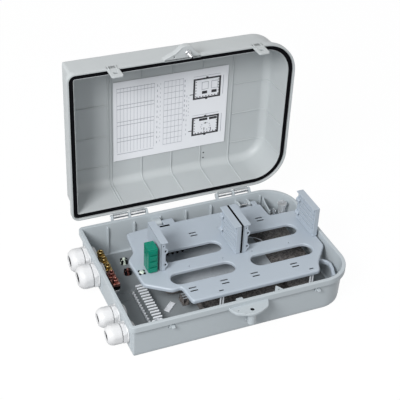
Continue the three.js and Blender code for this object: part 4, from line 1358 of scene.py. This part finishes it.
class FIBREBOX_OT_cable_comb(bpy.types.Operator):
    """Comb that holds the fibre tubes, with its fins and its two screws"""
    bl_idname = "fibrebox.cable_comb"
    bl_label = "Cable comb"

    def execute(self, context):
        x0, x1, y0, y1 = COMB
        middle = (x0 + x1) / 2
        screws = (y0 + 5, y1 - 5)
        foot = (ON_FLOOR, 6.9)
        count = context.scene.fibre_box_sizes.comb_fins
        pitch = (y1 - y0 - 24) / (count - 1)
        eyes = [(circle(middle, y, 2.3, 16), edge_profile(*foot, 0.3, 0.2)) for y in screws]
        strip = plate(rectangle(x0, x1, y0, y1, 3.0), edge_profile(*foot, 0.6, 0.3), eyes)
        outline = rectangle(x0 + 5.2, x1 - 0.6, 5.5, 20.0)
        fin = plate(outline, edge_profile(y0 + 11.3, y0 + 12.5, 0.2, 0.2), plane="xz")
        # Strip and fins take the darkened floor grey: painted shade that falls between the fins.
        fins = row([fin], count, (0, pitch, 0), FLOOR_SHADE_GREY)
        piece("comb_shaded_strip", [strip, *fins], FLOOR_SHADE_GREY, "base", ["cable_comb"])
        end_block = plate(
            rounded(rectangle(x0 + 1, x1 - 1, y0 + 0.6, y0 + 9.4), 4),
            edge_profile(6.6, 20.5, 1.6, 0.4),
            [(circle(middle, screws[0], 4.2, 20), edge_profile(6.6, 20.5, 0.5, 0.2))])
        # A white crest caps each fin as its painted lit top edge; the end block and the pegs keep
        # the comb's own white.
        lit_crest = block(x0 + 5.0, x1 - 0.4, y0 + 10.7, y0 + 13.1, 19.4, 22.0, 0.6)
        peg = block(x0 + 0.4, x0 + 3.6, y0 + 10.6, y0 + 13.4, 5.5, 10.4)
        lit_crests = [end_block] + row([lit_crest, peg], count, (0, pitch, 0), MILKY)
        piece("comb_lit_crests", lit_crests, MILKY, "base")
        for i, y in enumerate(screws, 1):
            piece(f"comb_screw_{i}_head", pan_head(middle, y, foot[1]), BRIGHT, "base",
                  [f"comb_screw_{i}"])
        return {"FINISHED"}


# ---------------------------------------------------------------- swing plate
def plate_profile(fillet):
    """The plate's edge, turned down into a lip and rounded at the top."""
    under, low = PLATE_TOP - PLATE_SHEET, PLATE_TOP - 6
    lip = [(1.7, under), (1.6, low + 0.3), (1.3, low), (0.3, low), (0.0, low + 0.3)]
    return lip + fillet_profile(fillet, PLATE_TOP, 6)


def slot_profile():
    """The edge of a long slot, turned down less far than the plate's own."""
    under, low = PLATE_TOP - PLATE_SHEET, PLATE_TOP - 5
    lip = [(1.4, under), (1.4, low + 0.2), (1.2, low), (0.2, low), (0.0, low + 0.2)]
    return lip + fillet_profile(1.9, PLATE_TOP, 6)


def swing_plate_part(fillet):
    """The sheet with its turned-down edge and all its openings."""
    small = [
        (1.6, PLATE_TOP - PLATE_SHEET), (0.1, PLATE_TOP - 0.5), (0.0, PLATE_TOP - 0.3),
        (0.0, PLATE_TOP),
    ]
    tiny = edge_profile(PLATE_TOP - PLATE_SHEET, PLATE_TOP, 0.25, 0.15)
    holes = [(racetrack(x, y, SLOT_LENGTH, SLOT_WIDTH), slot_profile()) for x, y in PLATE_SLOTS]
    for x, y in TIE_PAIRS:
        for middle in (y - 3.5, y + 3.5):
            holes.append((rectangle(x - 6, x + 6, middle - 1.25, middle + 1.25, 0.8), small))
    for x in LATCHES:
        holes.append((rectangle(x - 3.6, x + 3.6, -86, -83.6, 0.6), small))
    holes.append((rectangle(-55, -38.5, 89.4, 93.6, 0.6), tiny))
    holes += [(circle(x, y, 1.3, 12), tiny) for x, y in PLATE_EYES]
    holes.append((circle(*PLATE_SCREW, 2.1, 14), tiny))
    return plate(rounded(PLATE_OUTLINE, 5), plate_profile(fillet), holes)


def plate_ears():
    """The eyes on the plate's back edge."""
    parts = []
    for x0, x1 in PLATE_EARS:
        outline = [(95.2, 51.9), (95.2, 54.0), (104.5, 54.0)] + arc(*PLATE_AXIS, 3.2, 80, -150, 12)
        outline += [(102.0, 51.9)]
        parts.append(plate(outline, edge_profile(x0, x1, 0.5, 0.5), plane="yz"))
    return parts


def latch_strips(x):
    """Two upright strips on a foot, which the plate's front edge snaps between."""
    strips = [block(middle - 0.9, middle + 0.9, -89.8, -86.8, ON_FLOOR, 50.6, 0.4)
              for middle in (x - 2.0, x + 2.0)]
    return strips + [block(x - 3, x + 3, -94, -86.8, ON_FLOOR, 11.5)]


class FIBREBOX_OT_swing_plate(bpy.types.Operator):
    """Swing plate with its slots and hinge ears, its screw and its snap posts"""
    bl_idname = "fibrebox.swing_plate"
    bl_label = "Swing plate"

    def execute(self, context):
        body = "swing_plate"
        fillet = context.scene.fibre_box_sizes.plate_fillet / MM
        piece("plate_sheet", [swing_plate_part(fillet)], PLATE_GREY, body,
              ["swing_plate"])
        piece("plate_ears", plate_ears(), PLATE_GREY, body)
        # Black blocks under the stop slot and under each pair of tie slots: painted shade that
        # makes the openings look dark.
        stop = block(-55.6, -37.9, 88.8, 94.2, PLATE_TOP - 4.4, PLATE_TOP - 0.4, 0.2)
        pads = [block(x - 8, x + 8, y - 6.4, y + 6.4, PLATE_TOP - 4.6, PLATE_TOP - 2.5, 0.4)
                for x, y in TIE_PAIRS]
        piece("plate_slot_shade", [stop, *pads], SEAL, body)
        screw = pan_head(*PLATE_SCREW, PLATE_TOP)
        piece("plate_screw", screw, PALE, body, ["wing_screw"])
        wings = dark_lobes(PLATE_SCREW, PLATE_TOP, PLATE_TOP + 1.6)
        piece("plate_screw_wings", wings, SEAL, body)
        hinge_rod("plate_hinge_pin_left", -67, -28, PLATE_AXIS, 18, ZINC)
        hinge_rod("plate_hinge_pin_right", 76, 118.5, PLATE_AXIS, 18, ZINC)
        for name, x in zip(("plate_latch_left", "plate_latch_right"), LATCHES):
            piece(name + "_strips", latch_strips(x), MILKY, "base", [name])
        return {"FINISHED"}


# ---------------------------------------------------------------- module brackets
def bracket_holes():
    """The x and z of a bracket's two screw holes, and of the small eye above them."""
    screws = [(BRACKET_BOSS_X, ON_PLATE + BRACKET_HEIGHT * share) for share in BRACKET_LOBES]
    return screws, (BRACKET_EYE_X, PLATE_TOP + BRACKET_HEIGHT - 6.5)


def bracket_boss(z):
    """The screw boss behind a lobe, with its bore."""
    near, far = BRACKET_FRONT + 1.6, BRACKET_FRONT + 8.6
    section = [(1.7, near), (3.7, near), (3.7, far - 0.6), (3.2, far), (1.7, far)]
    return shifted(moved(turned(section, 24), UP_TO_BACK), x=8.2, z=z)


def bracket_hole_shade():
    """Black discs just inside a bracket's front holes: painted shade that darkens them."""
    screws, eye = bracket_holes()
    shade_discs = []
    for (x, z), radius in zip((*screws, eye), (2.3, 2.3, 1.7)):
        disc = cylinder(radius, BRACKET_FRONT + 0.9, BRACKET_FRONT + 2.4, 20)
        shade_discs.append(shifted(moved(disc, UP_TO_BACK), x=x, z=z))
    return shade_discs


def bracket_front():
    """The bracket's front sheet, lobed round its two screw holes."""
    screws, eye = bracket_holes()
    high = PLATE_TOP + BRACKET_HEIGHT
    sheet = (BRACKET_FRONT, BRACKET_FRONT + 2)
    edge = [(0.4, high - 1.0), (0.4, ON_PLATE + 0.2), (7.6, ON_PLATE + 0.2)]
    for _, z in screws:
        edge += arc(6.8, z, 5.5, -72, 72, 14)
    edge += [(7.6, high - 1.0)]
    holes = [(circle(*place, 2.2, 18), edge_profile(*sheet, 0.3, 0.2)) for place in screws]
    holes.append((circle(*eye, 1.5, 14), edge_profile(*sheet, 0.2, 0.2)))
    return plate(edge, edge_profile(*sheet, 0.35, 0.35), holes, "xz")


def bracket_parts():
    """A bracket with its outer wall at x = 0 and its bay on +X, lobed at the front."""
    front, back = BRACKET_FRONT, BRACKET_BACK
    low, high = ON_PLATE, PLATE_TOP + BRACKET_HEIGHT
    middle = (low + high) / 2
    parts = [
        block(0.4, 2.4, front, back, low, high - 0.4),
        block(0.4, 12, front, back, high - 2.2, high),
        block(0.4, 8.6, front + 0.4, back - 0.4, low, low + 2.2),
        block(2.0, 7.4, front + 1, back - 0.4, middle - 0.9, middle + 0.9, 0.4),
        block(5.8, 7.6, front + 0.6, back - 0.4, low + 0.3, high - 1, 0.4),
        block(0.6, 8.2, back - 2.0, back, low, high - 1),
    ]
    plank = block(6.6, 9.2, front + 10, back - 3, low + 4.2, low + 11.6)
    parts += row([plank], 5, (0, 0, 8.8), PLATE_GREY)
    parts += [bracket_boss(z) for _, z in bracket_holes()[0]]
    return parts + [bracket_front()]


class FIBREBOX_OT_module_brackets(bpy.types.Operator):
    """Four brackets that hold the plug-in modules, and a black sheet as painted shade in the gap
    between the middle two
    """
    bl_idname = "fibrebox.module_brackets"
    bl_label = "Module brackets"

    def execute(self, context):
        body = "swing_plate"
        hole_shade = []
        for i, (x, turned_round) in enumerate(BRACKETS, 1):
            place = Matrix.Translation((x, 0, 0))
            if turned_round:
                place = (
                    Matrix.Translation((x, BRACKET_FRONT + BRACKET_BACK, 0))
                    @ Matrix.Rotation(math.pi, 4, "Z"))
            parts = [moved(part, place) for part in bracket_parts()]
            piece(f"bracket_{i}", parts, PLATE_GREY, body, [f"module_bracket_{i}"])
            hole_shade += [moved(part, place) for part in bracket_hole_shade()]
        # Black discs in the brackets' holes: painted shade.
        piece("bracket_hole_shade", hole_shade, SEAL, body)
        # A black sheet filling the gap between the middle two brackets: painted shade in that gap.
        pad = block(36.7, 39.7, BRACKET_FRONT + 0.05, BRACKET_BACK - 0.2,
                    ON_PLATE, PLATE_TOP + BRACKET_HEIGHT - 0.05, 0.2)
        piece("bracket_gap_shade", [pad], SEAL, body)
        return {"FINISHED"}


# ---------------------------------------------------------------- adapters
class FIBREBOX_OT_adapters(bpy.types.Operator):
    """Stack of green fibre adapters with a dust cap in each"""
    bl_idname = "fibrebox.adapters"
    bl_label = "Fibre adapters"

    def execute(self, context):
        x, front, back = ADAPTER_X, ADAPTER_FRONT, ADAPTER_FRONT + ADAPTER_DEPTH
        for i in range(ADAPTER_COUNT):
            z = PLATE_TOP + 0.6 + i * ADAPTER_PITCH
            port = rectangle(x - 5.2, x + 5.2, z + 1.6, z + 8.4, 0.4)
            rim = rectangle(x - 7.4, x + 7.4, z, z + 10.3, 0.6)
            housing = plate(rim, edge_profile(front, back, 0.5, 0.5),
                            [(port, edge_profile(front, back, 0.3, 0.3))], "xz")
            web = block(x - 5.4, x + 5.4, front + 8, front + 13, z + 1.4, z + 8.6, 0.0)
            flange = block(x - 7.8, x + 7.8, front + 9.2, front + 11.3, z, z + 10.4, 0.3)
            piece(f"adapter_{i + 1}_body", [housing, web, flange], GREEN, "swing_plate",
                  [f"adapter_{i + 1}"])
            face = block(x - 6.2, x + 6.2, front - 1.8, front - 0.4, z + 0.9, z + 9.1)
            grip = block(x - 3.6, x + 3.6, front - 2.3, front - 1.5, z + 3.8, z + 6.2, 0.3)
            plug = block(x - 4.8, x + 4.8, front - 1.0, front + 6.8, z + 2.0, z + 8.0)
            cap = f"adapter_cap_{i + 1}"
            piece(f"adapter_{i + 1}_cap", [face, grip, plug], GREEN, cap, [cap])
        low = PLATE_TOP + 10.6
        first = block(x - 7.2, x + 7.2, front + 0.4, back - 0.4, low, low + 1.0, 0.2)
        seams = row([first], ADAPTER_COUNT - 1, (0, 0, ADAPTER_PITCH), SEAM)
        piece("adapter_seams", seams, SEAM, "swing_plate")
        return {"FINISHED"}


# ---------------------------------------------------------------- fibre management under the plate
def tray_parts():
    """The tray's floor and walls, its feet and its round hub."""
    rings = []
    for inset, z in (
            (0.3, 8.0), (0.0, 8.3), (0.0, 19.7), (0.4, 20.0), (1.6, 20.0), (2.0, 19.6),
            (2.0, 10.2)):
        rings.append([(x, y, z) for x, y in moved_in(rounded(TRAY_OUTLINE, 10), inset)])
    foot = turned([(0, ON_FLOOR), (4.6, ON_FLOOR), (5.0, 3.8), (5.0, 8.2), (0, 8.2)], 20)
    feet = [shifted(foot, x, y) for x, y in ((-40, -70), (120, -70), (-70, 55), (142, 55))]
    hub = turned([(20, 10), (22, 10), (22, 17.6), (21.6, 18), (20.4, 18), (20, 17.6)], 40)
    return [skin(rings), *feet, shifted(hub, x=-40, y=25)]


def cover_part(outline):
    """A thin cover sheet lying on the tray's rim."""
    return plate(rounded(outline, 6), edge_profile(20.3, 21.6, 0.4, 0.2))


class FIBREBOX_OT_splice_tray(bpy.types.Operator):
    """Splice tray with its holder, its two-part cover and the tie mount beside it"""
    bl_idname = "fibrebox.splice_tray"
    bl_label = "Splice tray"

    def execute(self, context):
        piece("tray_body", tray_parts(), DARK, "base", ["splice_tray"])
        teeth = row([block(25, 28.6, 20, 44, 10.3, 17.0, 0.4)], 9, (7, 0, 0), RUBBER)
        holder = [block(25, 85, 20, 44, 10.3, 12.4, 0.4), *teeth]
        piece("holder_comb", holder, RUBBER, "base", ["splice_holder"])
        left = [(-49.5, -48), (92, -48), (92, 61), (-83.5, 61), (-83.5, -18.5), (-49.5, -18.5)]
        piece("cover_left", [cover_part(left)], COVER_GREY, "base",
              ["splice_cover"])
        mount = [
            block(-77, -66, -64, -46, 21, 25, 0.6), block(-76, -74.4, -63, -47, 24.6, 33),
            block(-68.6, -67, -63, -47, 24.6, 33)]
        piece("tray_mount", mount, DARK, "base")
        ties = row([block(-75, -68, -60.6, -59.4, 31.4, 33.2, 0.4)], 3, (0, 5.5, 0), MILKY)
        piece("tray_mount_ties", ties, COVER_GREY, "base")
        strap = tube([(79, 54, 24), (84, 47, 29), (90, 40, 31.5), (96, 34, 31), (101, 29, 26)], 0.9)
        piece("cover_strap", [strap], MILKY, "base")
        stubs = row([block(-64, -61, 57, 62.5, 20.4, 25.0, 0.4)], 5, (8.5, 0, 0), DARK)
        piece("cover_stubs", stubs, RUBBER, "base")
        right = [
            (92.6, -83.5), (133.5, -83.5), (133.5, -45.5), (155.5, -45.5), (155.5, 68.5),
            (92.6, 68.5)]
        piece("cover_right", [cover_part(right)], DARK, "base")
        return {"FINISHED"}


def fibre_spool():
    """The tall clear drum at the back."""
    spool = turned([
        (0, ON_FLOOR), (7.6, ON_FLOOR), (8.0, 3.7), (8.0, 5.4), (6.8, 6.2), (6.4, 10), (6.4, 48),
        (6.8, 51.6), (8.0, 52.2), (8.0, 53.4), (7.4, 54.0), (3.6, 54.0), (3.2, 52.4),
        (0, 52.4)], 36)
    return [shifted(spool, x=159, y=86)]


def fibre_loop():
    """The clear ring on its stay."""
    ring = turned([
        (4.6, 34.3), (4.9, 34.0), (6.2, 34.0), (6.5, 34.4), (6.5, 38.6), (6.1, 39.0), (4.9, 39.0),
        (4.6, 38.6)], 36)
    return [shifted(ring, x=143.5, y=90), block(141.5, 145.5, 93.6, 96.4, ON_FLOOR, 35.0)]


def fibre_clip():
    """The low strip with two lips, lying askew on the floor."""
    turn = Matrix.Translation((-88, -40, 0)) @ Matrix.Rotation(math.radians(43), 4, "Z")
    strip = plate(rectangle(-11, 11, -4.5, 4.5, 1.2), edge_profile(ON_FLOOR, 5.0, 0.4, 0.2))
    lips = [block(-10.8, 10.8, y - 0.5, y + 0.5, 4.8, 5.7, 0.3) for y in (-3.9, 3.9)]
    return [moved(p, turn) for p in (strip, *lips)]


def corner_guide():
    """The bent bar in the rounded corner, on two legs."""
    path = [
        (144, -52), (151.5, -55.2), (158, -58), (162.4, -63), (165, -70), (162.5, -82), (157, -96)]
    guide = plate(bent_outline(path, 5), edge_profile(36, 42, 1.2, 0.5))
    leg = cylinder(2.3, ON_FLOOR, 37, 16)
    return [guide] + [shifted(leg, x, y) for x, y in ((145, -52.5), (157.6, -94))]


def partition_wall():
    """The bent wall between the back wall and the clear drum."""
    path = [(135.5, 112), (134.6, 105), (133, 98), (131.4, 87), (129.5, 73)]
    return [plate(bent_outline(path, 2.2), edge_profile(ON_FLOOR, 53, 0.6, 0.3))]


class FIBREBOX_OT_floor_fittings(bpy.types.Operator):
    """Small fibre guides on the floor of the base"""
    bl_idname = "fibrebox.floor_fittings"
    bl_label = "Floor fittings"

    def execute(self, context):
        for name, parts, kind, slot, node in (
                ("fibre_spool", fibre_spool(), CLEAR, "clear_plastic", "fibre_drum"),
                ("fibre_loop", fibre_loop(), CLEAR, "clear_plastic", "fibre_ring"),
                ("fibre_clip_strip", fibre_clip(), MILKY, "clear_plastic", "fibre_clip"),
                ("corner_guide_bar", corner_guide(), PLATE_GREY, "grey_abs", "corner_guide"),
                ("partition_wall", partition_wall(), BOX_GREY, "grey_abs", "partition")):
            piece(name, parts, kind, "base", [node])
        return {"FINISHED"}


# ---------------------------------------------------------------- stage, in metres
STAGE_REACH = 8
STAGE_GAP = 0.0003                      # the floor lies just under the base
STAGE_COLOUR = (0.3, 0.31, 0.32)        # what the object's light and shadow fall on
STAGE_WHITE, STAGE_SHARE = 1.08, 0.9    # strength of the plain white, and how much of it is seen
KEY_PLACE, KEY_TARGET, KEY_SIZE = (-1.4, -1.0, 1.45), (0, 0.05, 0.08), 0.8
CAMERA_SENSOR_MM, CAMERA_REACH = 36, 50


def seen_directly(tree):
    """1 for rays from the camera and for those that metal and glass pass on, otherwise 0."""
    rays = tree.nodes.new("ShaderNodeLightPath")
    found = rays.outputs["Is Camera Ray"]
    for name in ("Is Glossy Ray", "Is Transmission Ray"):
        either = tree.nodes.new("ShaderNodeMath")
        either.operation = "MAXIMUM"
        tree.links.new(found, either.inputs[0])
        tree.links.new(rays.outputs[name], either.inputs[1])
        found = either.outputs[0]
    return found


def stage_material():
    """A white floor that keeps the shadows lying on it."""
    material = bpy.data.materials.new("White studio floor")
    material.use_nodes = True
    tree = material.node_tree
    shader = tree.nodes["Principled BSDF"]
    shader.inputs["Base Color"].default_value = (*STAGE_COLOUR, 1)
    shader.inputs["Roughness"].default_value = 0.9
    shader.inputs["Specular IOR Level"].default_value = 0.1
    glow = tree.nodes.new("ShaderNodeEmission")
    glow.inputs["Strength"].default_value = STAGE_WHITE
    share = tree.nodes.new("ShaderNodeMath")
    share.operation = "MULTIPLY"
    share.inputs[1].default_value = STAGE_SHARE
    mix = tree.nodes.new("ShaderNodeMixShader")
    tree.links.new(seen_directly(tree), share.inputs[0])
    tree.links.new(share.outputs[0], mix.inputs["Fac"])
    tree.links.new(shader.outputs["BSDF"], mix.inputs[1])
    tree.links.new(glow.outputs["Emission"], mix.inputs[2])
    tree.links.new(mix.outputs["Shader"], tree.nodes["Material Output"].inputs["Surface"])
    return material


def studio_world(ambient):
    """Even light from all round, seen as plain white."""
    world = bpy.data.worlds.new("Studio")
    world.use_nodes = True
    tree = world.node_tree
    back = tree.nodes["Background"]
    back.inputs["Color"].default_value = (1, 1, 1, 1)
    level = tree.nodes.new("ShaderNodeMapRange")
    level.inputs["To Min"].default_value = ambient
    level.inputs["To Max"].default_value = 1.0
    tree.links.new(seen_directly(tree), level.inputs["Value"])
    tree.links.new(level.outputs["Result"], back.inputs["Strength"])
    bpy.context.scene.world = world


def add_lamp(name, place, target, size, power):
    """A square soft lamp turned towards its target."""
    lamp = bpy.data.lights.new(name, "AREA")
    lamp.shape = "RECTANGLE"
    lamp.size = lamp.size_y = size
    lamp.energy = power
    thing = new_object(name, lamp)
    thing.location = place
    thing.rotation_euler = (Vector(target) - Vector(place)).to_track_quat("-Z", "Y").to_euler()


class FIBREBOX_OT_stage(bpy.types.Operator):
    """Pale floor, soft studio light and the camera"""
    bl_idname = "fibrebox.stage"
    bl_label = "Stage"

    def execute(self, context):
        setup = context.scene.fibre_box_stage
        floor = new_object("studio_floor", bpy.data.meshes.new("studio_floor"))
        outline = rectangle(-STAGE_REACH, STAGE_REACH, -STAGE_REACH, STAGE_REACH)
        corners = [(x, y, 0) for x, y in outline]
        floor.data.from_pydata(corners, [], [(0, 1, 2, 3)])
        floor.location.z = CAD_BOX[0][2] - STAGE_GAP
        floor.data.materials.append(stage_material())
        studio_world(setup.ambient)
        add_lamp("Key", KEY_PLACE, KEY_TARGET, KEY_SIZE, setup.key_power)
        a, e, roll = setup.azimuth, setup.elevation, setup.roll
        back = Vector((math.sin(a) * math.cos(e), -math.cos(a) * math.cos(e), math.sin(e)))
        right = (-back).cross(Vector((0, 0, 1))).normalized()
        up = right.cross(-back)
        right, up = (
            right * math.cos(roll) + up * math.sin(roll),
            up * math.cos(roll) - right * math.sin(roll))
        eye = Vector(setup.look_at) + back * setup.distance
        camera = bpy.data.cameras.new("Camera")
        camera.lens = setup.lens
        camera.sensor_width = CAMERA_SENSOR_MM
        camera.clip_end = CAMERA_REACH
        thing = new_object("Camera", camera)
        turn = Matrix((right, up, back)).transposed().to_4x4()
        thing.matrix_world = Matrix.Translation(eye) @ turn
        context.scene.camera = thing
        context.scene.view_settings.view_transform = "Standard"
        return {"FINISHED"}


# ---------------------------------------------------------------- panel and registering
OPERATORS = (
    FIBREBOX_OT_stage,
    FIBREBOX_OT_base_tray,
    FIBREBOX_OT_lid,
    FIBREBOX_OT_lid_gasket,
    FIBREBOX_OT_lid_label,
    FIBREBOX_OT_lid_hinges,
    FIBREBOX_OT_lock_screw,
    FIBREBOX_OT_glands,
    FIBREBOX_OT_cable_clamps,
    FIBREBOX_OT_cable_comb,
    FIBREBOX_OT_swing_plate,
    FIBREBOX_OT_module_brackets,
    FIBREBOX_OT_adapters,
    FIBREBOX_OT_splice_tray,
    FIBREBOX_OT_floor_fittings,
)


class FIBREBOX_PT_pieces(bpy.types.Panel):
    """Lists the sizes, the finishes and one button for each group of pieces"""
    bl_idname = "FIBREBOX_PT_pieces"
    bl_label = "Fibre termination box"
    bl_space_type = "VIEW_3D"
    bl_region_type = "UI"
    bl_category = "Fibre box"

    def draw(self, context):
        scene = context.scene
        for group in (scene.fibre_box_sizes, scene.fibre_box_finishes, scene.fibre_box_stage):
            column = self.layout.box().column()
            for name in group.__annotations__:
                column.prop(group, name)
        column = self.layout.column()
        for operator in OPERATORS:
            column.operator(operator.bl_idname)


CLASSES = (FibreBoxSizes, FibreBoxFinishes, FibreBoxStage, *OPERATORS, FIBREBOX_PT_pieces)


def register():
    for cls in CLASSES:
        bpy.utils.register_class(cls)
    bpy.types.Scene.fibre_box_sizes = bpy.props.PointerProperty(type=FibreBoxSizes)
    bpy.types.Scene.fibre_box_finishes = bpy.props.PointerProperty(type=FibreBoxFinishes)
    bpy.types.Scene.fibre_box_stage = bpy.props.PointerProperty(type=FibreBoxStage)


def unregister():
    del bpy.types.Scene.fibre_box_stage
    del bpy.types.Scene.fibre_box_finishes
    del bpy.types.Scene.fibre_box_sizes
    for cls in reversed(CLASSES):
        bpy.utils.unregister_class(cls)


def main():
    register()
    for operator in OPERATORS:
        group, name = operator.bl_idname.split(".")
        getattr(getattr(bpy.ops, group), name)()


if __name__ == "__main__":
    main()
